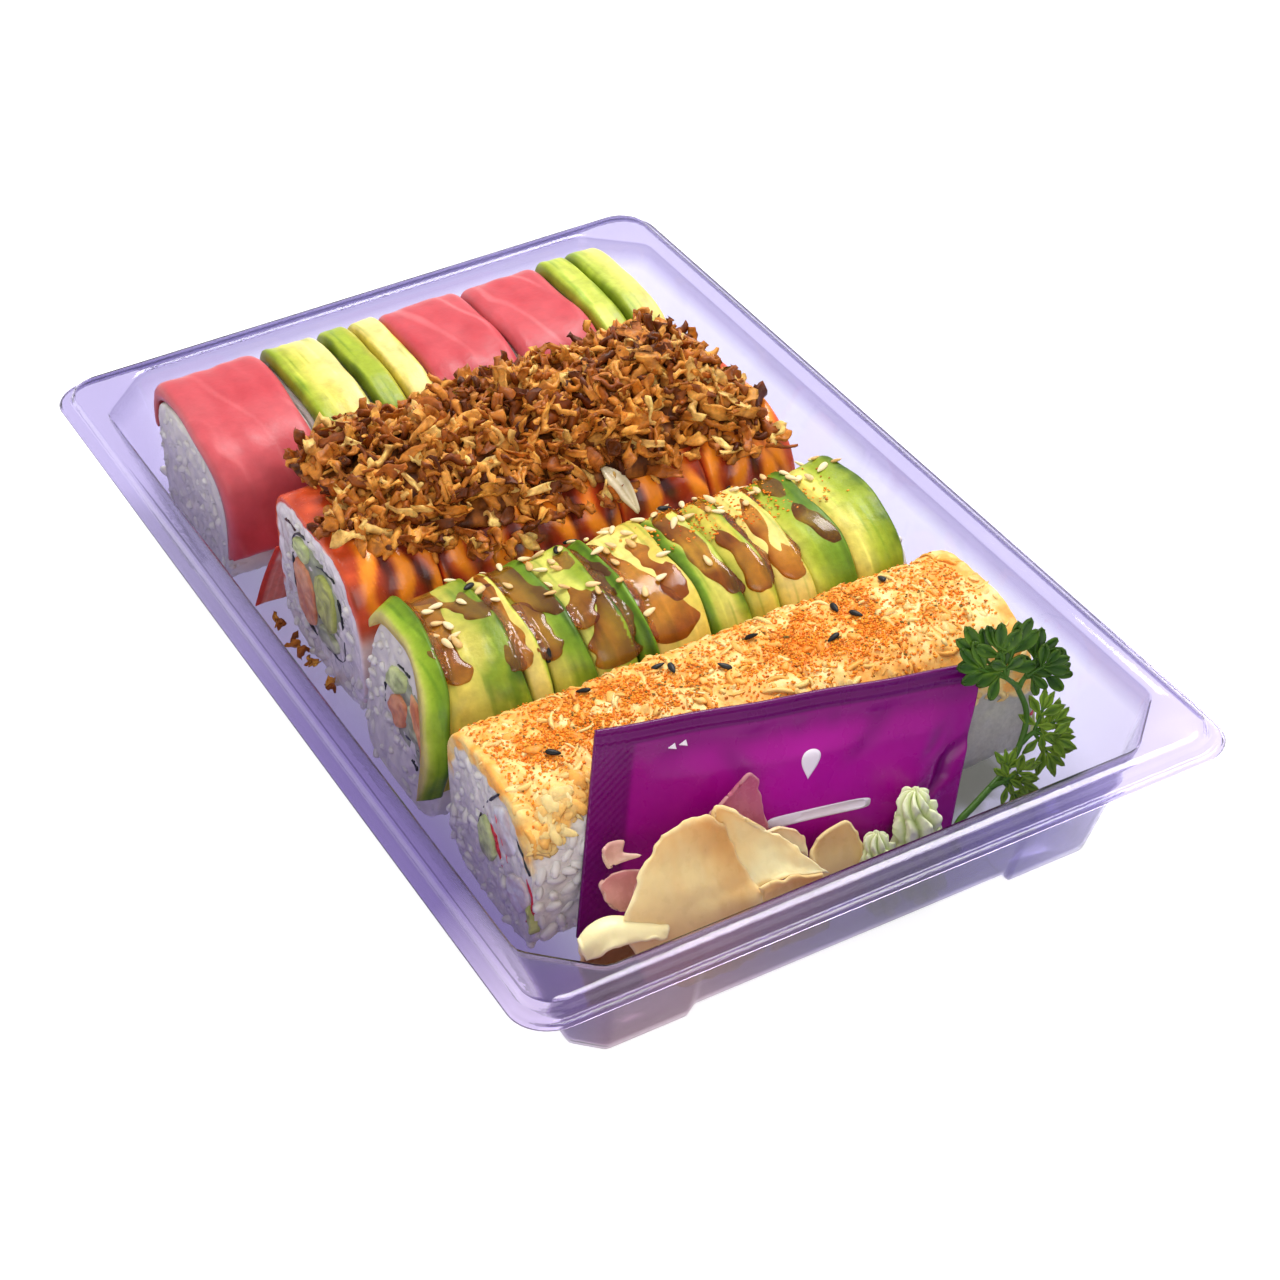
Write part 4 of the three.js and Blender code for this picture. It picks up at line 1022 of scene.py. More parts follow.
def make_powder():
    rng = np.random.default_rng(72)
    batch = Batch()
    grain = bead(4, 3)
    powder_on_crab(batch, rng, grain)
    powder_on_avocado(batch, rng, grain)
    batch.make("chilli_powder_grains", SPICE, "crab_roll")


make_topping()
make_powder()


# ---------------------------------------------------------------- cut ends: fillings, seaweed, rice
FISH, CUCUMBER, PICKLE = (240, 144, 104), (190, 204, 140), (176, 182, 98)
STICK, STICK_RED = (246, 218, 216), (216, 50, 58)
GREY_GREEN, SEAWEED, RIND = (168, 172, 142), (24, 30, 24), (66, 104, 52)
# On the cut ends of each row: fillings with their outlines in Y and Z, then dark sheets seen edge
# on with their widths and paths
ENDS = {
    "tuna": ([], []),
    "onion": (
        [
            ((150, 156, 128), [(30, 38.6), (40, 36.2), (42.4, 24), (38.6, 13.8), (20, 14), (14.8, 22),
                               (17, 36)]),
            (FISH, [(30.4, 31.2), (40.8, 32), (41.4, 22), (38, 14.2), (31, 14.6), (29.8, 22)]),
            (CUCUMBER, [(31.5, 32.6), (40, 32.8), (39.8, 36.2), (36.4, 38.2), (30, 38.2)]),
            (PICKLE, [(17.6, 20.5), (27.8, 20), (28.8, 31), (25, 35.4), (17.6, 34.5)]),
            (GREY_GREEN, [(18.6, 14.6), (28.6, 14.4), (28.8, 19.2), (17.6, 19.6)]),
        ],
        [
            (SEAWEED, 0.9, [(29.9, 40.2), (36, 39.3), (41, 36.5), (42.2, 30), (43.2, 21.4), (38.8, 13),
                            (32, 12.4)]),
            (SEAWEED, 0.8, [(28, 12.9), (21, 13.2), (15.7, 14.1), (13.8, 22), (14.8, 28), (16, 33)]),
            (SEAWEED, 0.7, [(16.7, 37.1), (22, 37), (27, 35.7)]),
            (SEAWEED, 1.5, [(28.6, 31), (29, 25), (28.8, 19.5)]),
            ((70, 34, 22), 1.2, [(44.6, 38.6), (41.8, 39.2), (38.8, 38.8)]),
        ],
    ),
    "avocado": (
        [
            ((156, 160, 136), [(-10, 30), (-20, 33), (-29, 28.6), (-35.6, 19), (-36, 12.6), (-27, 16),
                               (-14, 18.6)]),
            (CUCUMBER, [(-9.4, 27.7), (-12, 32), (-20.6, 32.6), (-19.5, 27.9), (-12.9, 25.3)]),
            (FISH, [(-12.2, 24.6), (-19.1, 27.6), (-23, 24.6), (-20, 18.8), (-14, 19.4)]),
            (GREY_GREEN, [(-20.8, 28.6), (-28, 23.6), (-30.5, 20.4), (-23.6, 20.6)]),
            (FISH, [(-21.6, 30.2), (-24.5, 30.4), (-30.2, 26), (-34.8, 20), (-36.4, 13.4), (-34, 13.2),
                    (-31, 19.6), (-26.8, 25)]),
        ],
        [
            (SEAWEED, 0.8, [(-9, 25.2), (-10.5, 21)]),
            (RIND, 1.8, [(-26.4, 30.6), (-30.6, 28.9), (-34.2, 24.6)]),
            (SEAWEED, 0.9, [(-20.4, 18.6), (-25, 19.4), (-30.6, 18.8), (-31.8, 15.6)]),
            (SEAWEED, 1.1, [(-25.4, 14.8), (-28.4, 13.8)]),
            (SEAWEED, 0.7, [(-14.4, 33.2), (-20.6, 33.4)]),
        ],
    ),
    "crab": (
        [
            (STICK, [(-66.9, 32.5), (-75, 39.6), (-81.2, 30.1), (-73, 22.8)]),
            (STICK, [(-74.4, 21), (-83.6, 25.4), (-85.4, 18), (-79.3, 12.2), (-75.2, 14.4)]),
            (CUCUMBER, [(-62.4, 27), (-66, 30.6), (-70.6, 21.6), (-66, 16.6), (-62.1, 19)]),
            ((176, 184, 112), [(-85.4, 12.4), (-84, 19), (-86, 19), (-86.6, 12)]),
        ],
        [
            (STICK_RED, 1.5, [(-66.6, 31.2), (-69.2, 26), (-71.2, 21.4), (-73, 20.4)]),
            (STICK_RED, 1.4, [(-83.8, 26.2), (-85.9, 22), (-86, 17.7), (-82.4, 12.4)]),
            ((232, 128, 130), 0.9, [(-70, 33.4), (-72.6, 28.4), (-75.4, 23.6)]),
            (SEAWEED, 0.8, [(-73, 40.6), (-69.6, 37.2), (-65, 32), (-61.4, 25), (-62, 18)]),
            (SEAWEED, 0.8, [(-80.2, 33.8), (-83, 30.6), (-85.4, 27.4)]),
        ],
    ),
}
# How thick the cover of each row is on its cut ends, and how far any grain stays from the edge
COVERS = {"tuna": 1.9, "onion": 5.0, "avocado": 1.9, "crab": 4.2}
BARE_EDGE = 1.9
# Profile of a filling from its foot to its middle: share of its outline, how far it stands out
INLAY_PROFILE = ((1.0, -1.2), (1.0, 0.2), (0.97, 0.5), (0.88, 0.7), (0.72, 0.8), (0.5, 0.8), (0.25, 0.8))
# Section of a dark sheet: share of its half width, how far it stands out
RIBBON_PROFILE = ((-1, -1), (-1, 0.1), (-0.4, 0.3), (0.4, 0.3), (1, 0.1), (1, -1))
RIBBON_STEPS = 26
GRAIN = bead(6, 5)
GRAIN_SIZE = np.array([2.5, 1.3, 1.2])
# Where bare rice shows along the rows: row, turn from and to, x from and to
RICE_BANDS = [
    ("tuna", -0.2, -0.055, -64, 60), ("tuna", 0.46, 0.7, -64, 60), ("onion", -0.2, -0.08, -57, 58),
    ("onion", 0.57, 0.7, -57, 58), ("avocado", -0.2, -0.055, -54, 61), ("avocado", 0.41, 0.7, -54, 61),
    ("crab", -0.2, 0.1, -59, 64), ("crab", 0.47, 0.7, -59, 64),
]


def inside(outline, y, z):
    """Which points lie inside a closed outline."""
    result = np.zeros(np.shape(y), bool)
    for (y0, z0), (y1, z1) in zip(outline, np.roll(outline, -1, axis=0)):
        crosses = (z0 > z) != (z1 > z)
        result ^= crosses & (y < (y1 - y0) * (z - z0) / (z1 - z0 + 1e-12) + y0)
    return result


def grown(outline, distance):
    outline = np.asarray(outline, float)
    centre = outline.mean(0)
    reach = np.linalg.norm(outline - centre, axis=1, keepdims=True)
    return centre + (outline - centre) * (1 + distance / reach)


def inlay(row, side, outline, seed, proud):
    """One filling seen on a cut end: a low pad with a fibrous top, and its colour shares."""
    outline = chaikin(outline, 2)
    outline = grown(outline, 0.25 * np.sin(np.arange(len(outline)) * 1.7 + seed)[:, None])
    centre = outline.mean(0)
    rings, grain = [], []
    for scale, out in INLAY_PROFILE:
        y, z = (centre + (outline - centre) * scale).T
        place = np.stack([y * 0 + seed, y * 0.5, z * 1.2], -1)
        rough = fbm(place, 1.6, 2, seed) * 0.35 * (out > 0.1) + proud * (out > 0)
        rings.append(row.face(side, y, z, out + rough))
        grain.append(noise(place, 1.1, seed + 3))
    return ring_solid(rings), np.concatenate([*grain, [0, 0]])


def ribbon(row, side, path, width, seed):
    """Thin dark sheet seen edge on in a cut end."""
    path = resample(chaikin(path, 2, closed=False), RIBBON_STEPS)
    way = unit(np.gradient(path, axis=0))
    across = np.stack([-way[:, 1], way[:, 0]], -1)
    step = np.arange(RIBBON_STEPS)
    wide = width * 0.42 * (1 + 0.5 * np.sin(step * 0.7 + seed) * np.sin(step * 0.23 + 2 * seed))
    wide[[0, -1]] *= 0.4
    sides = []
    for offset, out in RIBBON_PROFILE:
        y, z = (path + across * wide[:, None] * offset).T
        sides.append(row.face(side, y, z, out + 0.1 * np.sin(y * 1.3 + z)))
    return ring_solid(np.stack(sides, 1))


def spaced(points, distance, rng):
    """Indices of points that keep a distance from those already taken."""
    taken = []
    for index in rng.permutation(len(points)):
        if not taken or np.min(np.sum((points[taken] - points[index]) ** 2, 1)) > distance ** 2:
            taken.append(index)
    return np.array(taken)


def add_grains(rice, at, normals, rng):
    """Grains of rice lying about as flat as their normals say."""
    count = len(at)
    axes = thrown(rng, normals, 0.5)
    shape = copies(GRAIN, at, axes, GRAIN_SIZE * rng.uniform(0.82, 1.12, (count, 1)))
    tones = blend_colour(RICE_COLOUR, RICE_SHADE, rng.random(count)) + rng.normal(0, 3, (count, 1))
    rice.add_each(shape, tones)


def add_fillings(fillings, sheets, key, side, seed):
    """Pads and dark sheets of one cut end. The first pad is the ground under the others."""
    pads, lines = ENDS[key]
    for k, (colour, outline) in enumerate(pads):
        proud = 0.2 + 0.08 * k if k else -0.45
        shape, grain = inlay(ROWS[key], side, outline, k + seed, proud)
        colour = np.array(colour, float)
        paler = np.minimum(colour * 1.18 + 14, 250)
        fillings.add(shape, blend_colour(colour * 0.86, paler, 0.5 + 0.9 * grain))
    for k, (colour, width, path) in enumerate(lines):
        sheets.add(ribbon(ROWS[key], side, path, width, k), colour)


def add_end_rice(rice, key, side, rng, tries=2600):
    """Grains on one cut end, between its cover and its fillings."""
    row = ROWS[key]
    pads, lines = ENDS[key]
    y = rng.uniform(row.y - row.a, row.y + row.a, tries)
    z = rng.uniform(FLOOR_TOP, FLOOR_TOP + 2 * row.b, tries)
    turn = np.arctan2(z - row.middle, row.y - y) / TAU
    uncovered = (turn < -0.06) | (turn > 0.56)
    edge = np.where(uncovered, -BARE_EDGE, -COVERS[key])
    edge_y, edge_z = row.section(turn, edge)
    free = np.hypot(y - row.y, z - row.middle) < np.hypot(edge_y - row.y, edge_z - row.middle)
    for _, outline in pads:
        free &= ~inside(grown(chaikin(outline, 1), 1.4), y, z)
    for _, width, path in lines:
        for path_y, path_z in resample(path, 12):
            free &= np.hypot(y - path_y, z - path_z) > width / 2 + 1.4
    spots = np.stack([y[free], z[free]], -1)
    spots = spots[spaced(spots, 2.5, rng)]
    at = row.face(side, *spots.T, rng.uniform(-1.4, -0.45, len(spots)))
    add_grains(rice, at, np.tile([side * 1.0, 0.0, 0.0], (len(spots), 1)), rng)


def add_band_rice(rice, key, turn0, turn1, x0, x1, rng):
    """Grains along a bare band of a row."""
    row = ROWS[key]
    count = int((x1 - x0) * (turn1 - turn0) * 125)
    x = rng.uniform(x0, x1, count)
    turn = rng.uniform(turn0, turn1, count)
    keep = spaced(unrolled(x, turn), 2.7, rng)
    x, turn = x[keep], turn[keep]
    if key == "crab":
        clear = ((turn < crab_edge(x) - 0.005) & (x < 36)) | (turn > 0.4)
        x, turn = x[clear], turn[clear]
    at = row.at(x, turn, rng.uniform(-1.5, -0.8, len(x)))
    add_grains(rice, at, row.normal(x, turn), rng)


def make_ends():
    rng = np.random.default_rng(33)
    fillings, sheets, rice = Batch(), Batch(), Batch()
    for order, key in enumerate(ENDS):
        for side in (-1, 1):
            add_fillings(fillings, sheets, key, side, 5 * order)
            add_end_rice(rice, key, side, rng)
    for band in RICE_BANDS:
        add_band_rice(rice, *band, rng)
    rice.make("rice_grains", RICE, "rice")
    fillings.make("roll_fillings", FILLING, "rice_roll")
    sheets.make("seaweed_sheets", NORI, "rice_roll")


make_ends()


# ---------------------------------------------------------------- sauce and seeds on the avocado
# Points of each run of sauce: place along the row, turn, width
DRIPS = [
    [(-43.5, 0.38, 7), (-47, 0.31, 6), (-49.8, 0.23, 5), (-50.6, 0.17, 5.4), (-49.5, 0.13, 4.6)],
    [(-47, 0.34, 5), (-41.5, 0.315, 6.5), (-38.6, 0.27, 5.5), (-37.2, 0.225, 3.6)],
    [(-30, 0.385, 6), (-27.5, 0.33, 7.5), (-25.4, 0.28, 7), (-23.4, 0.22, 4.5), (-22.4, 0.185, 3)],
    [(-31, 0.32, 4), (-33.6, 0.245, 4), (-34.8, 0.19, 5), (-36.2, 0.145, 5.6), (-36.8, 0.12, 4)],
    [(-28.6, 0.25, 3.4), (-28.8, 0.2, 4.4), (-28.6, 0.15, 5), (-28.4, 0.12, 3.6)],
    [(-12, 0.35, 5), (-11.6, 0.29, 5.5), (-14, 0.235, 5), (-17, 0.185, 5.5), (-18.4, 0.15, 6)],
    [(-9.4, 0.27, 3), (-10.4, 0.21, 4.4), (-12, 0.15, 7), (-14, 0.11, 8.5), (-15, 0.08, 8)],
    [(-5, 0.33, 5), (-4.4, 0.265, 6), (-3.4, 0.21, 6.5), (-0.6, 0.16, 9), (1, 0.12, 9.5), (0.4, 0.085, 8)],
    [(3, 0.3, 3), (4.4, 0.24, 4), (5.2, 0.19, 4.4), (4.6, 0.14, 5)],
    [(17, 0.38, 6), (15.2, 0.31, 5), (14.8, 0.24, 4.2), (15.6, 0.17, 4.4), (18, 0.12, 4)],
    [(26, 0.38, 5), (25, 0.31, 4.6), (24.8, 0.24, 5), (24.6, 0.17, 5.4), (24.2, 0.11, 5)],
    [(36, 0.36, 4.4), (33.6, 0.29, 4), (32.6, 0.22, 4.6), (32.4, 0.15, 5), (32.8, 0.11, 4)],
    [(43, 0.38, 4), (42.6, 0.3, 3.6), (43.4, 0.22, 3.8), (45, 0.14, 4.4)],
]
SAUCE_THICK, SAUCE_THIN = (180, 98, 36), (244, 176, 88)
# Where seeds lie on the third row: x from, to, turn from, to, how many
SEED_FIELDS = [
    (-52, -43, 0.19, 0.34, 10), (-40, -24, 0.26, 0.36, 8), (-22, -5, 0.2, 0.36, 17), (-4, 10, 0.26, 0.38, 12),
    (8, 30, 0.29, 0.4, 30), (30, 44, 0.28, 0.4, 12), (44, 60, 0.3, 0.42, 16), (-10, 30, 0.14, 0.26, 5),
]
SESAME_LIGHT, SESAME_DARK = (250, 228, 180), (220, 174, 104)
# Size of a white and of a black seed, and the black ones' places along the row and turns
SESAME_SIZE, BLACK_SIZE = np.array([1.75, 1.05, 0.6]), np.array([1.75, 1.0, 0.65])
BLACK_ON_AVOCADO = [
    (-36, 0.31), (-12.5, 0.33), (-7, 0.36), (17, 0.35), (36, 0.38), (54, 0.4), (-29.5, 0.13),
]
BLACK_ON_CRAB = [
    (-46, 0.22), (-31, 0.33), (-13, 0.33), (-11, 0.31), (-1, 0.27), (9, 0.31), (24, 0.24), (30, 0.31),
    (33, 0.28), (45, 0.34),
]
SEED_SHAPE = bead(10, 8, taper=0.5)


def add_drip(batch, run, k):
    """One run of sauce, a low dome thicker towards its lower end."""
    row = ROWS["avocado"]
    u, v = grid(70, 18, first_v=-1)
    x, turn, width = np.moveaxis(spline(run, u), -1, 0)
    ends = np.sqrt(np.clip(1 - np.abs(2 * u - 1) ** 9, 0, 1))
    wavy = 1 + 0.16 * np.sin(u * 15 + k * 2 + np.sign(v)) + 0.08 * np.sin(u * 31 + k)
    x = x + width * 0.68 * wavy * ends * v
    base = sum(slice_top(x + d, turn) for d in (-1.2, -0.6, 0, 0.6, 1.2)) / 5
    dome = np.sqrt(np.clip(1 - v ** 4, 0, 1)) * ends
    low = smooth((u - 0.6) * 3)
    place = unrolled(x, turn)
    height = (0.42 + 0.4 * low + 0.1 * noise(place, 6, 3)) * dome
    thick = 0.25 + 0.8 * fbm(place, 6, 2, k) + 0.25 * low + 0.4 * smooth((np.abs(v) - 0.6) * 3)
    tone = blend_colour(SAUCE_THIN, SAUCE_THICK, thick)
    batch.add(plate(row.at(x, turn, base - 0.8), row.at(x, turn, base - 0.12 + height)), tone, tone)


def make_sauce():
    batch = Batch()
    for k, run in enumerate(DRIPS):
        add_drip(batch, run, k)
    batch.make("sauce_drips", SAUCE, "avocado")


def make_sesame(rng):
    row = ROWS["avocado"]
    fields = []
    for x0, x1, turn0, turn1, count in SEED_FIELDS:
        fields.append((rng.uniform(x0, x1, count), rng.uniform(turn0, turn1, count)))
    x, turn = np.concatenate(fields, axis=1)
    keep = spaced(unrolled(x, turn), 1.9, rng)
    x, turn = x[keep], turn[keep]
    count = len(x)
    at = row.at(x, turn, slice_top(x, turn) + 0.65)
    axes = thrown(rng, row.normal(x, turn), 0.22)
    sizes = SESAME_SIZE * rng.uniform(0.85, 1.1, (count, 1))
    tones = blend_colour(SESAME_LIGHT, SESAME_DARK, rng.random(count) ** 1.5)
    batch = Batch()
    batch.add_each(copies(SEED_SHAPE, at, axes, sizes), tones)
    batch.make("sesame_seeds", SEED, "avocado")


def make_black_seeds(rng):
    batch = Batch()
    for key, places, lift in (("avocado", BLACK_ON_AVOCADO, slice_top), ("crab", BLACK_ON_CRAB, crab_lift)):
        x, turn = np.transpose(places)
        count = len(x)
        at = ROWS[key].at(x, turn, lift(x, turn) + 0.7)
        axes = turned(ROWS[key].normal(x, turn) + rng.normal(0, 0.15, (count, 3)), x * 2.3)
        shape = copies(SEED_SHAPE, at, axes, np.tile(BLACK_SIZE, (count, 1)))
        batch.add_each(shape, np.tile(rng.normal(30, 4, (count, 1)), 3))
    batch.make("black_seeds", SEED, "avocado")


def make_seeds():
    rng = np.random.default_rng(48)
    make_sesame(rng)
    make_black_seeds(rng)


make_sauce()
make_seeds()


# ---------------------------------------------------------------- crispy onions
HEAP_X, HEAP_FRONT, HEAP_BACK, HEAP_BASE, HEAP_RISE = (-50, 56), 14, 61, 43.4, 12.6
# How far down the front shoulder the onions reach: place along X, turn
ONION_EDGE = [
    (-56, 0.19), (-43, 0.14), (-31, 0.12), (-21, 0.09), (-9.5, 0.078), (-3, 0.115), (6, 0.106), (25, 0.118),
    (38, 0.115), (56, 0.09),
]
# Clusters of crumbs on the floor beside the rows
FLOOR_CRUMBS = [
    (-60.6, 50.5, 5.2), (-60.4, 40.5, 5.4), (-61.4, 36.5, 5.6), (-60.8, 32, 5.2), (-60.4, 21.8, 5.2),
]
# Proportions of a lump and of a small crumb
LUMP_SIZE, CRUMB_SIZE = [1.5, 1.0, 0.7], [1.5, 1.0, 0.6]
# Shares and tones of the flakes, the tones of the heap under them, painted darker than the flakes as
# shade in the gaps, and how burnt edges darken
ONION_LOOKS = [
    (0.24, (242, 170, 76)), (0.27, (216, 136, 50)), (0.21, (182, 102, 34)),
    (0.13, (144, 74, 20)), (0.07, (106, 50, 14)), (0.08, (255, 210, 122)),
]
HEAP_LIGHT, HEAP_DARK, BURNT = (168, 98, 34), (78, 36, 10), (0.64, 0.52, 0.38)


def heap_at(u, v):
    """Surface of the heap: u along the row, v from its front to its back."""
    along = smooth(u * 9) * smooth((1 - u) * 7)
    across = np.sin(math.pi * v ** 0.85) ** 0.75
    lumps = 1 + 0.14 * np.sin(u * 23 + v * 5) * np.cos(v * 9 + u * 11) + 0.1 * np.sin(u * 41)
    z = HEAP_BASE + 1.8 + HEAP_RISE * mix(0.8, 1, u) * along * across * lumps
    front = HEAP_FRONT + 2.5 * np.sin(u * 17) - 3 * u
    return np.stack([mix(*HEAP_X, u), mix(front, HEAP_BACK, v), z], -1)


def heap_normal(u, v):
    low, high = 0.001, 0.999
    along = heap_at(np.clip(u + 0.02, low, high), v) - heap_at(np.clip(u - 0.02, low, high), v)
    across = heap_at(u, np.clip(v + 0.02, low, high)) - heap_at(u, np.clip(v - 0.02, low, high))
    return unit(np.cross(along, across))


def onion_tones(count, rng):
    return drawn_tones(rng, ONION_LOOKS, count) + rng.normal(0, 6, (count, 1))


def add_lumps(batch, at, rng):
    """Crumbly clusters of batter."""
    count = len(at)
    sizes = rng.uniform(0.8, 1.7, (count, 1)) * rng.uniform(0.5, 1.4, (count, 3)) * LUMP_SIZE
    axes = thrown(rng, np.zeros_like(at), 1)
    crumbs(batch, at, sizes, axes, onion_tones(count, rng), around=12, layers=8)


def add_flakes(batch, at, normals, length, width, rng, tilt=0.9):
    """Thin crinkled strips of fried onion, each bent and twisted its own way."""
    count = len(at)
    s = np.linspace(-0.5, 0.5, 12)[None, :, None]
    t = np.linspace(-0.5, 0.5, 5)[None, None, :]

    def each(low, high):
        return rng.uniform(low, high, (count, 1, 1))

    bend = each(0.3, 2.4) * np.where(rng.random((count, 1, 1)) < 0.5, -1, 1)
    size, span = length[:, None, None], width[:, None, None]
    taper = 1 - each(0.1, 0.75) * (2 * s) ** 2 + each(-0.25, 0.25) * np.sin(s * each(5, 14) + each(0, 6))
    theta = bend * s
    x = size / bend * np.sin(theta)
    z = size / bend * (1 - np.cos(theta))
    y = t * span * np.clip(taper, 0.15, 1.4)
    curl = each(-1.2, 1.2) * span * (t * t) * 1.3
    twist = each(-1.6, 1.6) * 2 * s
    side = y * np.cos(twist) - curl * np.sin(twist)
    rise = y * np.sin(twist) + curl * np.cos(twist)
    strips = np.stack(np.broadcast_arrays(x - rise * np.sin(theta), side, z + rise * np.cos(theta)), -1)
    spot = strips + np.arange(count)[:, None, None, None] * 9.7
    crinkle = 0.9 * noise(spot, 1.1, 2) + 1.6 * noise(spot, 3.0, 5)
    up = np.stack(np.broadcast_arrays(-np.sin(theta), 0 * y, np.cos(theta)), -1)
    strips = strips + up * crinkle[..., None]
    half = each(0.3, 0.6)[..., None]
    axes = thrown(rng, normals, tilt)
    tones = onion_tones(count, rng)
    edge = np.clip(np.abs(2 * t) ** 3 + np.abs(2 * s) ** 6, 0, 1)
    for k in range(count):
        under, over = (at[k] + (strips[k] + sign * up[k] * half[k]) @ axes[k] for sign in (-1, 1))
        for part in (under, over):
            part[..., 2] = np.minimum(part[..., 2], HIGHEST)
        patch = 0.35 * edge[0] + 0.7 * fbm(over, 2.4, 2, 4)
        tone = blend_colour(tones[k], tones[k] * BURNT, patch)
        batch.add(plate(under, over), tone, tone)


def on_heap(rng, count, low, high):
    """Random places on the heap, from low to high mm above it, and its normals there."""
    u = rng.uniform(0.015, 0.985, count)
    v = rng.uniform(0.02, 0.97, count)
    normals = heap_normal(u, v)
    return heap_at(u, v) + normals * rng.uniform(low, high, (count, 1)), normals


def make_flakes(rng, count=400):
    """The heap with broad flakes on it."""
    u, v = grid(120, 60)
    top = heap_at(u, v)
    top[..., 2] += 1.6 * fbm(top, 3.5, 3, 6) - 2.0
    bottom = top.copy()
    bottom[..., 2] = np.minimum(HEAP_BASE, top[..., 2] - 0.5)
    # Random tones of the heap, painted darker than the flakes as shade in the gaps between them
    tone = blend_colour(HEAP_LIGHT, HEAP_DARK, 0.5 + 1.1 * fbm(top, 2.4, 3, 8))
    batch = Batch()
    batch.add(plate(bottom, top), tone, tone)
    at, normals = on_heap(rng, count, -1.6, 1.4)
    length = 4 + 10 * rng.random(count) ** 1.2
    width = 1.5 + 3.8 * rng.random(count) ** 1.4
    add_flakes(batch, at, normals, length, width, rng)
    batch.make("crispy_onion_flakes", ONION, "fried_onion", "crispy_onions")


def make_clusters(rng, count=460, lumps=90):
    """Narrow flakes and lumps all over the heap."""
    batch = Batch()
    at, normals = on_heap(rng, count, -0.8, 2.0)
    length = rng.uniform(5, 12, count)
    add_flakes(batch, at, normals, length, rng.uniform(1.1, 2.6, count), rng)
    at, normals = on_heap(rng, lumps, -1.2, 0.6)
    add_lumps(batch, at, rng)
    batch.make("crispy_onion_clusters", ONION, "fried_onion")


def add_hanging(batch, rng, count=250, lumps=60):
    """Flakes and lumps down the front shoulder of the row."""
    row = ROWS["onion"]
    x = rng.uniform(-56, 56, count)
    edge = np.interp(x, *zip(*ONION_EDGE))
    turn = edge - 0.004 + (0.25 - edge) * rng.random(count) ** 1.1
    at = row.at(x, turn, rng.uniform(0.8, 3.6, count))
    length = rng.uniform(4, 10, count)
    add_flakes(batch, at, row.normal(x, turn), length, rng.uniform(1.2, 3.2, count), rng, tilt=0.5)
    x = rng.uniform(-55, 56, lumps)
    turn = np.interp(x, *zip(*ONION_EDGE)) + rng.uniform(-0.01, 0.1, lumps)
    add_lumps(batch, row.at(x, turn, 1.2), rng)


def add_floor_crumbs(batch, rng):
    at = np.repeat(np.array(FLOOR_CRUMBS, float), 3, axis=0)
    at += rng.normal(0, 1, at.shape) * [0.5, 1.1, 0.25]
    count = len(at)
    length = rng.uniform(2.2, 3.6, count)
    upright = np.tile([0.0, 0.0, 1.0], (count, 1))
    add_flakes(batch, at, upright, length, rng.uniform(1.0, 2.0, count), rng, tilt=0.3)


def add_crumbs(batch, rng, count=260):
    """Small crumbs among the flakes of the heap."""
    u = rng.uniform(0, 1, count)
    v = rng.uniform(0.0, 0.98, count)
    at = heap_at(u, v) + rng.normal(0, 0.9, (count, 3))
    at[:, 2] = np.minimum(at[:, 2], HIGHEST - 1)
    axes = thrown(rng, np.zeros_like(at), 1)
    sizes = rng.uniform(0.3, 1.0, (count, 3)) * CRUMB_SIZE
    crumbs(batch, at, sizes, axes, onion_tones(count, rng), around=8, layers=6)


def make_onions():
    rng = np.random.default_rng(909)
    make_flakes(rng)
    make_clusters(rng)
    batch = Batch()
    add_hanging(batch, rng)
    add_floor_crumbs(batch, rng)
    add_crumbs(batch, rng)
    batch.make("crispy_onion_bits", ONION, "fried_onion")


# ---------------------------------------------------------------- two thin pieces by the onions
SLIVER_ENDS = np.array([[10.0, 12.4, 46.8], [13.8, 2.4, 38.6]])
SLIVER_WIDTH, SLIVER_THICK = 5, 0.9
SLIVER_LIGHT, SLIVER_DARK = (240, 226, 196), (214, 196, 154)
STRIP_ENDS = np.array([[-63, 60.4, 4.7], [-57.4, 55.2, 23.6]])
STRIP_LENGTH, STRIP_THICK = 13, 1.1
STRIP_PALE, STRIP_PINK = (246, 218, 210), (226, 128, 112)
STRIP_STREAK, STRIP_RED = (242, 178, 164), (206, 62, 46)


def thin_sheet(cells, place, thickness, rim=0.25, radius=0.06):
    """Thin closed sheet round place(u, v), thinner along its edges, with its u, v and middle."""
    u, v = grid(*cells)
    middle = place(u, v)
    normal = unit(np.cross(np.gradient(middle, axis=0), np.gradient(middle, axis=1)))
    half = thickness / 2 * mix(rim, 1, rounded_edge(u, v, 1, 1, radius))[..., None]
    return plate(middle - normal * half, middle + normal * half), u, v, middle


def make_sliver():
    """Raw onion on the front shoulder, pointed at both ends."""

    def place(u, v):
        across = (v - 0.5) * SLIVER_WIDTH * np.sin(mix(0.12, 3.02, u))
        rise = 1.8 * np.sin(u * math.pi) + 0.25 * np.sin(v * 9)
        return mix(*SLIVER_ENDS, u[..., None]) + np.stack([across, across * 0.3, rise], -1)

    shape, u, v, _ = thin_sheet((36, 14), place, SLIVER_THICK)
    tone = blend_colour(SLIVER_LIGHT, SLIVER_DARK, 0.5 + 0.5 * np.sin(v * 17 + u * 2))
    make_piece("onion_sliver_raw", SLIVER, "onion", "onion_sliver", shape, tone, tone)


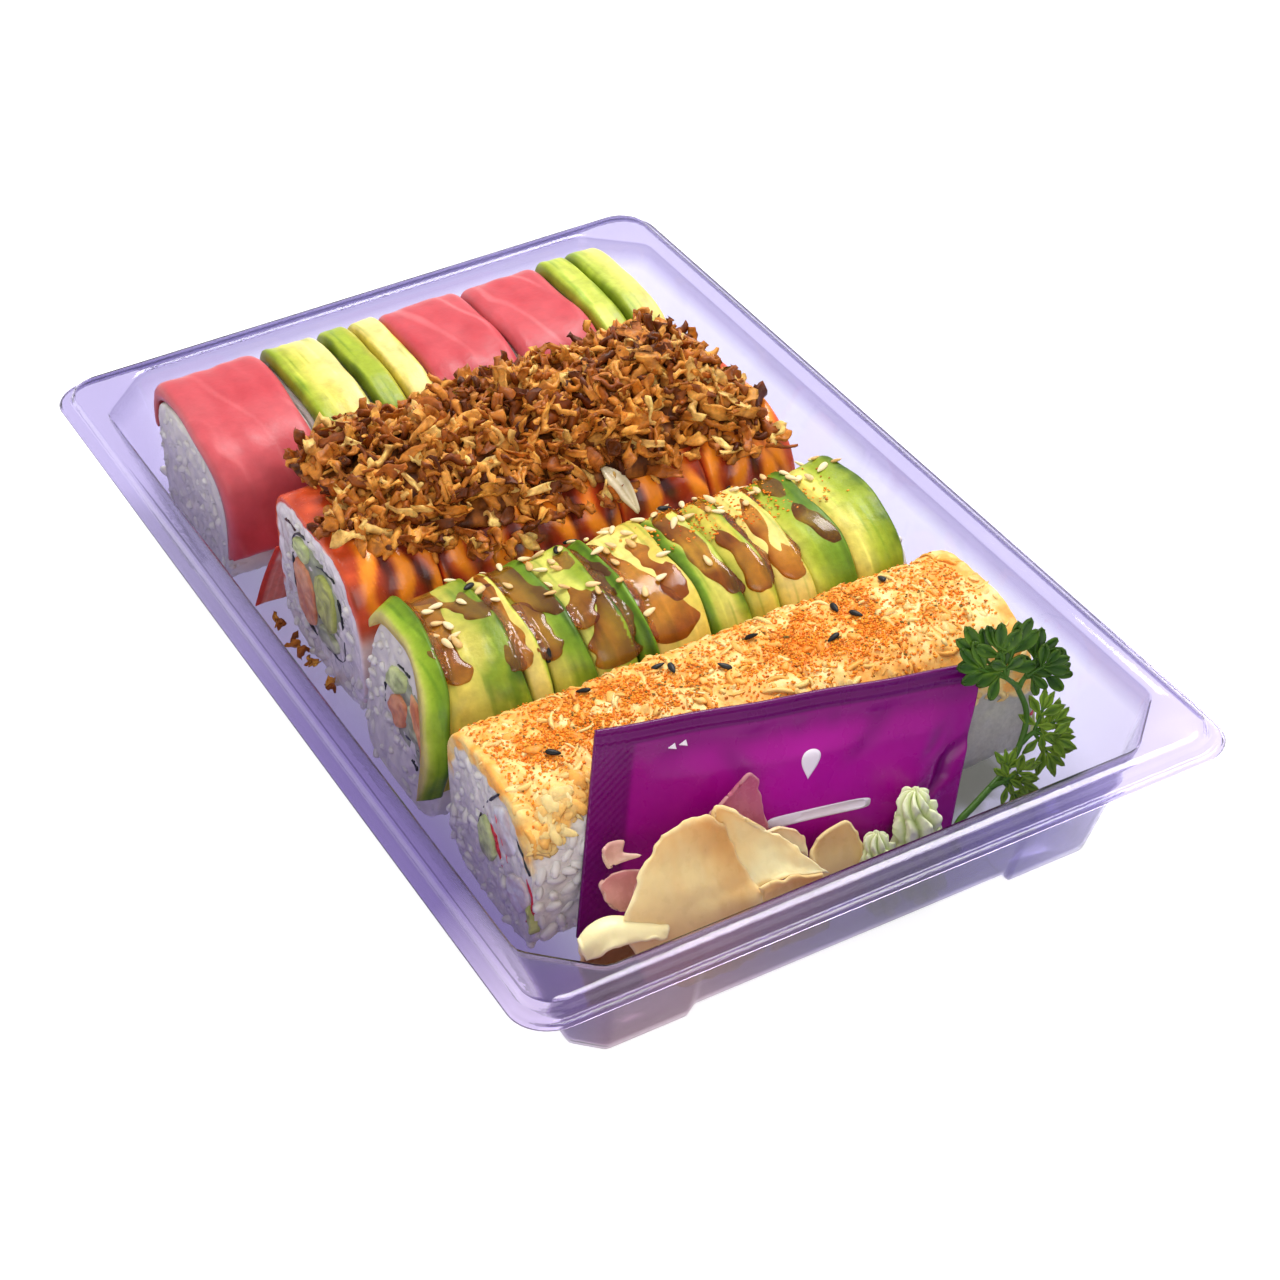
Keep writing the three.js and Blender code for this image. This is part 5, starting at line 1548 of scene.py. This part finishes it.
def make_strip():
    """Strip of crab-stick skin, red along its edges, leaning on the left end of the second row."""

    def place(u, v):
        bulge = 0.8 * np.sin(u * math.pi) + 0.25 * np.sin(v * 8)
        return mix(*STRIP_ENDS, u[..., None]) + np.stack([v * STRIP_LENGTH, bulge, -2 * v * u], -1)

    shape, u, v, middle = thin_sheet((40, 26), place, STRIP_THICK)
    pink = smooth((0.8 - u + 0.15 * noise(middle, 3, 3)) * 6)
    tone = blend_colour(STRIP_PALE, STRIP_PINK, pink)
    tone = blend_colour(tone, STRIP_STREAK, smooth(np.sin(v * 40) - 0.4) * 0.5)
    tone = blend_colour(tone, STRIP_RED, smooth((0.14 - np.minimum(v, 1 - v)) * 12))
    make_piece("crab_skin_strip_red", FILLING, "crab_skin", "crab_skin_strip", shape, tone, tone)


make_onions()
make_sliver()
make_strip()


# ---------------------------------------------------------------- sauce sachet
# Corners from the upper left one round to the lower left one
SACHET = np.array([[-40.6, -80.0, 54.2], [46.6, -92.2, 44.2], [30.2, -103.8, 5.4], [-54.0, -92.4, 12.6]])
SACHET_FACING = -unit(np.cross(SACHET[1] - SACHET[0], SACHET[3] - SACHET[0]))
SACHET_EDGE, SACHET_SWELL = 0.8, 5.2
# Share of the swelling on its front and on its back
SACHET_FRONT, SACHET_BACK = 0.62, -0.38
# Pitch of the pattern pressed into the left seal and into the top seal, and the film's rough size
KNURL_PITCH, BAND_PITCH, FILM_SIZE = 1.9, 2.2, (87, 45)
PURPLE, PURPLE_DEEP, PURPLE_HIGHLIGHT, PRINT_TONE = (146, 0, 126), (98, 0, 92), (184, 0, 156), (236, 226, 238)
# Creases by the right seal: u, v of the upper and lower end, depth
CREASES = ((0.985, 0.34, 0.88, 1.0), (0.94, 0.5, 0.9, 0.8), (1.01, 0.2, 0.7, 0.6), (0.9, 0.24, 0.5, 0.4))
# Dents under the top seal: u, lean
DENTS = ((0.34, 0.3), (0.74, -0.4))
# Section of the print from its rim to its middle: share of its outline, how far it stands out
PRINT_PROFILE = ((1, 0.02), (1, 0.09), (0.75, 0.1), (0.5, 0.1), (0.25, 0.1))


def sachet_folds(u, v):
    """Wrinkles of the film, mostly towards its right seal and under its top seal."""
    side = 0.0
    for start, top, foot, deep in CREASES:
        d = (u - start + (v - 0.38) * 0.27 + 0.006 * np.sin(v * 30)) / 0.016
        ends = smooth((v - top) * 7) * smooth((foot - v) * 7)
        side = side + deep * (d - 0.5) * np.exp(-d * d / 2) * ends
    low = 0.35 * np.sin((u * 0.4 + v) * 17) * smooth((v - 0.45) * 4) * smooth((0.7 - u) * 5)
    pucker = 0.25 * np.sin(u * 47 + 2 * np.sin(u * 11)) * bell(v - 0.15, 0.06)
    dents = sum(bell(u - at - lean * (v - 0.2), 0.035) * bell(v - 0.26, 0.12) for at, lean in DENTS)
    return side + low + pucker - 0.5 * dents


def sachet_at(u, v, front, proud=0.0):
    """Surface of the sachet: u from its left to its right seal, v from its top down."""
    top, foot = (mix(SACHET[left], SACHET[right], u[..., None]) for left, right in ((0, 1), (3, 2)))
    down = smooth((v - 0.14) * 6) * smooth((0.96 - v) * 4)
    along = smooth((u - 0.1) * 5) * smooth((0.96 - u) * 9)
    swell = SACHET_SWELL * along * down * (0.75 + 0.12 * np.sin(u * 13 + v * 4))
    ripple = 0.35 * np.sin(u * 19) * smooth((0.2 - v) * 8)
    seal = smooth((0.11 - u) * 40) + smooth((0.085 - v) * 60)
    long, high = (share * length * TAU for share, length in zip((u, v), FILM_SIZE))
    knurl = 0.16 * np.sin(long / KNURL_PITCH) * np.sin(high / KNURL_PITCH) * smooth((0.1 - u) * 60)
    band = 0.2 * np.sin(high / BAND_PITCH) * smooth((0.1 - v) * 60)
    folds = sachet_folds(u, v) * (1 - np.clip(seal, 0, 1)) * down ** 0.3
    if front:
        distance = SACHET_EDGE / 2 + swell * SACHET_FRONT + folds + knurl + band
    else:
        distance = -SACHET_EDGE / 2 + swell * SACHET_BACK + 0.4 * (folds + knurl + band)
    return mix(top, foot, v[..., None]) + SACHET_FACING * (distance + ripple + proud)[..., None]


def make_sachet():
    u, v = grid(200, 100)
    # Painted highlight on the swelling, lightest in the middle
    painted_highlight = smooth(1 - np.hypot((u - 0.55) / 0.5, (v - 0.42) / 0.4))
    tone = blend_colour(PURPLE, PURPLE_HIGHLIGHT, 0.7 * painted_highlight)
    tone = blend_colour(tone, PURPLE_DEEP, 0.75 * smooth((0.1 - v) * 80) + 0.35 * smooth((0.22 - v) * 10))
    # Painted shade in the valleys of the wrinkles
    creased = -0.7 * np.minimum(0, sachet_folds(u, v))
    tone = blend_colour(tone, PURPLE_DEEP, 0.8 * smooth((0.11 - u) * 60) + creased)
    shape = plate(sachet_at(u, v, False), sachet_at(u, v, True))
    # Back of the film painted a little darker, as shade
    make_piece("sauce_sachet_film", FILM, "sachet", "sauce_sachet", shape, tone * 0.9, tone)


def print_outlines():
    """A plain drop, a bar and two small triangles, in shares of the sachet."""
    angle = np.arange(64) / 64 * TAU
    c, s = np.cos(angle), np.sin(angle)
    drop = np.stack([0.036 * s * np.sin(angle / 2) ** 1.5, 0.075 * c], -1)
    bar = np.stack([np.sign(c) * np.abs(c) ** 0.25 * 0.14, np.sign(s) * np.abs(s) ** 0.5 * 0.028], -1)
    corner = resample([(0, -0.012), (-0.018, 0.008), (0.006, 0.02), (0, -0.012)], 25)[:-1]
    return [drop + [0.555, 0.34], bar + [0.6, 0.6], corner + [0.205, 0.14], corner + [0.233, 0.134]]


def make_print():
    batch = Batch()
    for outline in print_outlines():
        centre = outline.mean(0)
        rings = []
        for scale, proud in PRINT_PROFILE:
            u, v = (centre + (outline - centre) * scale).T
            rings.append(sachet_at(u, v, True, proud))
        batch.add(ring_solid(rings), PRINT_TONE)
    batch.make("sachet_plain_print", PRINT, "sachet")


make_sachet()
make_print()


# ---------------------------------------------------------------- pickled ginger
GINGER_LIGHT, GINGER_DARK = (255, 236, 180), (236, 186, 112)
GINGER_SHADE, GINGER_AMBER = (252, 216, 148), (226, 168, 92)
GINGER_WARM, GINGER_TAN = (248, 218, 156), (222, 166, 96)
GINGER_PINK, GINGER_CURL_SHADOW, GINGER_RIM = (246, 190, 176), (134, 94, 50), (255, 240, 200)
GINGER_FACING = unit(np.array([-0.2, -0.75, 0.6]))
GINGER_THICK = 0.9
# The sheets of each slice: points from the top row down and from left to right, and two tones
GINGERS = {
    "ginger_slice_main": [
        ([[(-38.8, -104, 43.4), (-34, -103.6, 43.6), (-28.6, -103.2, 43), (-24.4, -103.4, 39)],
          [(-44, -106, 39.5), (-36.5, -105.6, 37), (-29, -105.2, 34.6), (-22.4, -105.8, 31.5)],
          [(-48.2, -108.5, 35), (-39.5, -109, 31), (-30, -109, 28), (-20.8, -108.9, 26)],
          [(-51.4, -110.5, 29.5), (-42, -111, 25), (-32, -111.6, 22.5), (-20.2, -112.2, 22)],
          [(-49, -112.5, 12), (-40, -112.8, 9), (-30, -112.8, 8), (-20, -112.6, 8)]],
         GINGER_WARM, GINGER_TAN),
    ],
    "ginger_slice_fold": [
        ([[(-26.4, -102.4, 42.6), (-24.6, -102.4, 43.4), (-22.8, -102.8, 41.8)],
          [(-27, -103.2, 38), (-20.5, -102.8, 37.4), (-16.2, -103.8, 35)],
          [(-26, -105.4, 32), (-16.5, -105, 31), (-10, -106, 28.8)],
          [(-24, -107.6, 27.5), (-14.5, -108, 26.6), (-5.8, -108.6, 23.8)],
          [(-22.4, -110.2, 24), (-12.6, -110.4, 24), (-2.8, -110.4, 20.2)]], GINGER_LIGHT, GINGER_DARK),
        ([[(-21.4, -111.6, 26), (-13, -111.2, 25), (-5, -110.8, 22)],
          [(-20.4, -112.6, 16), (-12, -112.4, 15), (-4, -112, 14)],
          [(-19, -112.6, 8), (-12, -112.6, 8), (-4.4, -112.4, 8)]], GINGER_SHADE, GINGER_AMBER),
        ([[(-14, -102, 30.6), (-9, -101.6, 29.6), (-4.2, -102.4, 25.4)],
          [(-12, -103, 26), (-8, -103.2, 25), (-4.8, -104.2, 21.4)]], GINGER_LIGHT, (236, 190, 140)),
    ],
    "ginger_slice_curl": [
        ([[(-60.5, -110, 10), (-56, -109.6, 9), (-51, -110, 9), (-46, -111, 9), (-42, -112, 9)],
          [(-61.6, -109.6, 22), (-57.6, -108.6, 23), (-52.6, -108.6, 22), (-47, -109.6, 20),
           (-42, -111.6, 18)],
          [(-62, -109.5, 28.5), (-58, -108, 30), (-53, -107.5, 29.5), (-47.5, -108.8, 27),
           (-42, -111.4, 24)],
          [(-62.4, -111.5, 28.6), (-59.2, -111.2, 30.4), (-55, -110.8, 31), (-49, -111.4, 28.8),
           (-42.4, -112.6, 25)],
          [(-61.8, -113, 26), (-59, -114, 27), (-56, -114, 28), (-50.4, -114, 27), (-42.8, -113.8, 24)]],
         GINGER_LIGHT, (240, 206, 142)),
    ],
    "ginger_slice_right": [
        ([[(-2, -103.5, 24.5), (1.5, -102.8, 25.2), (5, -102.6, 25.6), (6.6, -102.8, 24.8)],
          [(-4, -104.2, 22.5), (1, -103.4, 20.8), (6, -103.2, 20.2), (8.4, -103.6, 20.4)],
          [(-4.6, -105.6, 19), (-0.6, -105.4, 17), (5.6, -105, 15.5), (9, -105, 15)],
          [(-3, -107.6, 7), (0, -107.8, 7), (5, -107.6, 7), (7.6, -107, 7)]], GINGER_SHADE, (232, 186, 112)),
    ],
    "ginger_slice_left": [
        ([[(-49, -97, 30), (-44.5, -96.8, 30.4), (-40.4, -97.6, 29.4)],
          [(-50.8, -97.6, 29.6), (-47, -97.6, 28), (-42, -98.4, 26)],
          [(-49.6, -99, 26), (-47, -99.2, 24.6), (-43.6, -99.6, 23.6)],
          [(-48.6, -99.6, 24), (-47.2, -100, 22.6), (-45, -100, 21.8)]], GINGER_PINK, (222, 144, 146)),
        ([[(-47.6, -94.6, 36), (-45.6, -93.8, 36.4), (-42.2, -94.2, 35.6)],
          [(-48, -95.2, 33.6), (-45.4, -94.4, 33), (-43.4, -95, 33.4)],
          [(-47.4, -96, 31.4), (-44.4, -95.6, 31.6), (-40, -96.8, 32.6)]], (250, 214, 190), GINGER_PINK),
    ],
    "ginger_slice_back": [
        ([[(-15.4, -96, 41), (-13.4, -95.6, 42), (-11.6, -96, 40)],
          [(-20.5, -96.8, 38.5), (-16, -95.8, 37.5), (-11.8, -96.6, 35)],
          [(-24.2, -97.8, 37), (-17.5, -97, 33.5), (-10.6, -97.8, 30)],
          [(-26, -98.6, 33.5), (-18, -98.4, 28.5), (-10.8, -99, 26)]], (224, 140, 150), (190, 88, 122)),
    ],
}


def ginger_sheet(net, order):
    """A torn and wavy sheet through a net of points, its corners drawn in."""

    def place(u, v):
        across, down = 2 * u - 1, 2 * v - 1
        pull = 1 - 0.035 * smooth((np.hypot(across, down) - 1.05) / 0.36)
        flat = spline_sheet(net, 0.5 + (u - 0.5) * pull, 0.5 + (v - 0.5) * pull)
        rim = smooth((np.maximum(np.abs(across), np.abs(down)) - 0.8) * 5)
        torn = np.stack([noise(flat, 1.9, 1) + noise(flat, 5, 3), 0 * rim, noise(flat, 1.9, 2)], -1)
        waves = 0.35 * fbm(flat, 7, 2, order) + 0.08 * noise(flat * [1, 1, 0.2], 1.1, 4)
        waves = waves + 0.7 * rim * noise(flat, 4, 9)
        return flat + 0.55 * rim[..., None] * torn + GINGER_FACING * waves[..., None]

    return thin_sheet((60, 60), place, GINGER_THICK, rim=0.18, radius=0.03)


def make_ginger(order, name):
    """One slice, painted darker towards the top and lighter towards the bottom, as light and shade.
    The curl has painted shadow inside; the left and the back slice let light through.
    """
    batch = Batch()
    for net, light, dark in GINGERS[name]:
        shape, u, v, middle = ginger_sheet(net, order)
        grain = noise(middle * [1, 1, 0.12], 1.2, 8)
        shade = 0.4 + 0.5 * fbm(middle * [1, 1, 0.5], 12, 2, order) + 0.1 * grain
        # Painted light and shade: darker towards the top row of points, lighter towards the bottom
        tone = blend_colour(light, dark, shade + 0.9 * (0.4 - v))
        # Painted shadow inside the curl
        if name == "ginger_slice_curl":
            tone = blend_colour(light, GINGER_CURL_SHADOW, smooth((0.4 - v) * 6))
        edge = smooth(1 - np.minimum(np.minimum(u, 1 - u), np.minimum(v, 1 - v)) * 18)
        tone = blend_colour(tone, GINGER_RIM, 0.4 * edge)
        batch.add(shape, tone, tone)
    thin = name in ("ginger_slice_left", "ginger_slice_back")
    batch.make(f"{name}_pickled", THIN_GINGER if thin else GINGER, "ginger", name)


for number, name in enumerate(GINGERS):
    make_ginger(number, name)


# ---------------------------------------------------------------- piped wasabi
WASABI_LIGHT, WASABI_GROOVE_SHADE = (244, 250, 206), (204, 218, 144)
WASABI_LAYERS, WASABI_AROUND = 110, 132


def make_wasabi(number, x, y, radius, height, lobes, lean):
    """Piped rosette: rope with rounded ridges, wound upwards to a tip."""
    t = np.linspace(0, 1, WASABI_LAYERS)[:, None]
    angle = np.arange(WASABI_AROUND)[None, :] / WASABI_AROUND * TAU
    size = radius * mix(1.0, 0.8, t ** 3) * np.sqrt(np.clip(1.02 - t ** 9, 0, 1))
    ridges = np.abs(np.sin((lobes * angle + 15 * t + 1.4 * np.sin(t * 13 + number)) / 2)) ** 0.7
    turns = np.abs(np.sin(math.pi * 4.2 * t - angle / 2 + 0.4)) ** 0.6
    rough = np.stack(np.broadcast_arrays(angle * radius, t * height, float(number)), -1)
    knobs = 0.62 + 0.42 * ridges * (0.35 + 0.65 * turns)
    reach = size * (knobs + 0.14 * fbm(rough, 2.4, 3, number) + 0.07 * noise(rough, 0.8, 4))
    rise = t * height + 2.4 * (ridges - 0.5) * smooth((t - 0.6) * 4) + 0.8 * (turns - 0.5) * smooth(t * 3)
    points = np.stack([x + reach * np.cos(angle), y + lean * t + reach * np.sin(angle), FLOOR_TOP + rise], -1)
    shape = ring_solid(points, [x, y, FLOOR_TOP], [x + 0.5, y + lean, FLOOR_TOP + height - 1.2])
    # Painted shade in the grooves between the ridges
    tone = blend_colour(WASABI_LIGHT, WASABI_GROOVE_SHADE, smooth((1.0 - knobs) * 2.6))
    node = f"wasabi_rosette_{number}"
    make_piece(f"{node}_piped", WASABI, "wasabi", node, shape, tone, tone[0, 0], tone[-1, -1])


make_wasabi(1, x=20.8, y=-108.2, radius=5.7, height=24.6, lobes=8, lean=2.0)
make_wasabi(2, x=10.9, y=-108.2, radius=4.1, height=17.6, lobes=7, lean=1.2)

# ---------------------------------------------------------------- parsley
FAN_RIGHT, FAN_UP = unit(np.array([[0.94, -0.33, -0.06], [0.14, 0.36, 0.92]]))
FAN_FACING = np.cross(FAN_RIGHT, FAN_UP)
STEM = [
    (27.6, -111, 13), (28.9, -109.2, 18.5), (34.3, -107.6, 19.7), (40.2, -105.5, 21), (47.7, -102.4, 21.8),
    (52.6, -99.8, 25.7), (55, -98, 31), (51.6, -97.6, 39.6),
]
# Stalk foot, root of the fan, leaflets, their length, first and last turn in degrees
LEAVES = [
    ([52.4, -97.6, 38.2], [48.4, -98.6, 43.2], 4, 14.5, (72, 160)),
    ([52.4, -97.6, 38.2], [54.0, -97.4, 40.2], 3, 12.5, (-4, 62)),
    ([51.9, -100.3, 25.0], [54.8, -100.6, 27.0], 4, 11, (-58, 62)),
    ([40.2, -105.5, 21.0], [43.4, -106, 21.8], 4, 9, (-50, 70)),
]
# Lobes of a leaflet: place along its rib, turn from it in degrees, length and width as shares
LOBES = [
    (0.16, 74, 0.42, 0.2), (0.16, -74, 0.42, 0.2), (0.4, 46, 0.52, 0.24), (0.4, -46, 0.52, 0.24),
    (0.5, 14, 0.46, 0.2), (0.5, -16, 0.5, 0.21),
]
STEM_GREEN, STALK_GREEN, RIB_GREEN = (66, 104, 30), (62, 102, 28), (62, 100, 28)
LEAF_DARK, LEAF_LIGHT, LEAF_THICK = (38, 74, 12), (116, 146, 38), 0.5


def tube(path, radius, sides=12):
    """Round stalk along a path."""
    along = unit(np.gradient(path, axis=0))
    side = unit(np.cross(along, [0.2, 1.0, 0.1]))
    other = np.cross(along, side)
    angle = (np.arange(sides) / sides * TAU)[:, None]
    round_it = side[:, None] * np.cos(angle) + other[:, None] * np.sin(angle)
    return ring_solid(path[:, None] + radius[:, None, None] * round_it, path[0], path[-1])


def lobe(root, way, facing, length, width, droop, pointed):
    """Spoon-shaped lobe of a leaf, widest near its end, creased along the middle."""
    side = unit(np.cross(facing, way))

    def place(u, v):
        across = 2 * v - 1
        tip = np.sqrt(np.clip(1.003 - (np.clip(u - 0.62, 0, 1) / 0.38) ** 2, 0.003, 1))
        tip = mix(tip, np.clip((1.04 - u) / 0.42, 0, 1), pointed * (u > 0.62))
        half = width / 2 * mix(0.22, 1, smooth(u / 0.62)) * tip
        along = length * u * (1 + (0.05 + 0.08 * pointed) * np.cos(across * 3 * math.pi) * u ** 4)
        lift = droop * u * u + 0.2 * width * np.abs(across) * smooth(u * 3)
        return root + way * along[..., None] + side * (half * across)[..., None] + facing * lift[..., None]

    return thin_sheet((14, 10), place, LEAF_THICK, rim=0.4, radius=0.05)


def add_leaflet(batch, rng, order, root, angle, reach):
    """A rib with lobes on both sides. On the two lower stalks they are pointed and brighter."""
    low = order > 1
    facing = unit(FAN_FACING + FAN_RIGHT * rng.uniform(-0.3, 0.3) + FAN_UP * rng.uniform(-0.3, 0.3))
    aim = FAN_RIGHT * math.cos(angle) + FAN_UP * math.sin(angle)
    aim = unit(aim - facing * (aim @ facing))
    side = unit(np.cross(facing, aim))
    rib = root + aim * np.linspace(0, 0.6, 8)[:, None] * reach
    batch.add(tube(rib, np.linspace(0.5, 0.3, 8), 6), RIB_GREEN)
    for at, degrees, long, wide in LOBES:
        turn = math.radians(degrees + rng.uniform(-6, 6))
        way = aim * math.cos(turn) + side * math.sin(turn)
        base = root + aim * at * reach + facing * rng.uniform(-0.3, 0.3)
        size = reach * rng.uniform(0.9, 1.08)
        droop = rng.uniform(-0.8, 1.2)
        shape, _, v, middle = lobe(base, way, facing, size * long, size * wide, droop, 0.8 * low)
        # Painted shade along the middle of each lobe, where it is creased
        midrib_shade = 0.5 * (np.abs(2 * v - 1) - 0.5)
        bright = (0.75 if low else 0.2) + 0.3 * noise(middle, 2.5, order) + midrib_shade
        tone = blend_colour(LEAF_DARK, LEAF_LIGHT, bright)
        # One side of each lobe painted darker, as shade
        batch.add(shape, tone * 0.85, tone)


def make_parsley():
    rng = np.random.default_rng(1204)
    batch = Batch()
    stem = resample(chaikin(STEM, 3, closed=False), 60)
    batch.add(tube(stem, np.linspace(0.85, 0.65, 60)), STEM_GREEN)
    for order, (foot, root, count, length, turns) in enumerate(LEAVES):
        foot, root = np.array(foot), np.array(root)
        stalk = resample([foot, mix(foot, root, 0.5) + [0, 0, 0.2], mix(foot, root, 1.1)], 14)
        batch.add(tube(stalk, np.linspace(0.7, 0.5, 14)), STALK_GREEN)
        for k in range(count):
            angle = math.radians(mix(*turns, k / (count - 1)) + rng.uniform(-4, 4))
            reach = length * rng.uniform(0.92, 1.02) * (1 - 0.1 * (k % 2))
            add_leaflet(batch, rng, order, root, angle, reach)
    batch.make("parsley_sprig_leaves", PARSLEY, "parsley", "parsley_sprig")


make_parsley()


# ---------------------------------------------------------------- floor, light and camera
# Metres here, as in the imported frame; the camera's place is in millimetres
FLOOR_HALF, FLOOR_Z, FLOOR_GREY, FLOOR_GLOW = 12.0, -0.0002, 0.7, 0.72
SKY_COLOUR, SKY_STRENGTH = (1.0, 0.985, 0.97, 1), 0.68
TARGET = (0, 0, 0.02)
# Name, place, size and power
LIGHTS = [("key", (0.45, 0.35, 0.95), 0.6, 12.0), ("fill", (-0.5, -0.9, 0.6), 0.9, 4.0)]
CAMERA_AT = np.array([-250.07, -516.74, 451.28])
VIEW_AZIMUTH, VIEW_ELEVATION, VIEW_ROLL = -26.829, 37.702, -3.036
LENS, SENSOR = 85.88, 36.0


def make_floor():
    mesh = bpy.data.meshes.new("pale_floor")
    corners = [(-1, -1), (1, -1), (1, 1), (-1, 1)]
    mesh.from_pydata([(x * FLOOR_HALF, y * FLOOR_HALF, FLOOR_Z) for x, y in corners], [], [(0, 1, 2, 3)])
    finish = bpy.data.materials.new("pale_floor")
    finish.use_nodes = True
    sockets = finish.node_tree.nodes["Principled BSDF"].inputs
    sockets["Base Color"].default_value = (FLOOR_GREY, FLOOR_GREY, FLOOR_GREY, 1)
    sockets["Roughness"].default_value = 0.9
    sockets["Emission Color"].default_value = (1, 1, 1, 1)
    sockets["Emission Strength"].default_value = FLOOR_GLOW
    mesh.materials.append(finish)
    floor = bpy.data.objects.new("pale_floor", mesh)
    bpy.context.scene.collection.objects.link(floor)


def make_sky():
    world = bpy.data.worlds.new("studio")
    world.use_nodes = True
    sky = world.node_tree.nodes["Background"]
    sky.inputs["Color"].default_value = SKY_COLOUR
    sky.inputs["Strength"].default_value = SKY_STRENGTH
    bpy.context.scene.world = world


def add_posed(name, data, right, up, back, at):
    """A light or camera that looks against `back`, with its axes and its place in metres."""
    thing = bpy.data.objects.new(name, data)
    matrix = np.eye(4)
    matrix[:3] = np.stack([right, up, back, at], -1)
    thing.matrix_world = Matrix(matrix.tolist())
    bpy.context.scene.collection.objects.link(thing)
    return thing


def add_light(name, at, size, power):
    light = bpy.data.lights.new(name, "AREA")
    light.shape = "DISK"
    light.size = size
    light.energy = power
    back = unit(np.array(at, float) - TARGET)
    right = unit(np.cross([0, 0, 1.0], back))
    add_posed(name, light, right, np.cross(back, right), back, at)


def make_camera():
    azimuth, elevation, roll = (math.radians(a) for a in (VIEW_AZIMUTH, VIEW_ELEVATION, VIEW_ROLL))
    level = np.array([math.cos(azimuth), math.sin(azimuth), 0])
    away = np.array([math.sin(azimuth), -math.cos(azimuth), 0])
    back = away * math.cos(elevation) + [0, 0, math.sin(elevation)]
    right = level * math.cos(roll) + np.cross(back, level) * math.sin(roll)
    lens = bpy.data.cameras.new("camera")
    lens.lens, lens.sensor_width, lens.sensor_fit = LENS, SENSOR, "HORIZONTAL"
    camera = add_posed("camera", lens, right, np.cross(back, right), back, CAMERA_AT * MM)
    bpy.context.scene.camera = camera


make_floor()
make_sky()
for light in LIGHTS:
    add_light(*light)
make_camera()
bpy.context.scene.view_settings.view_transform = "Standard"
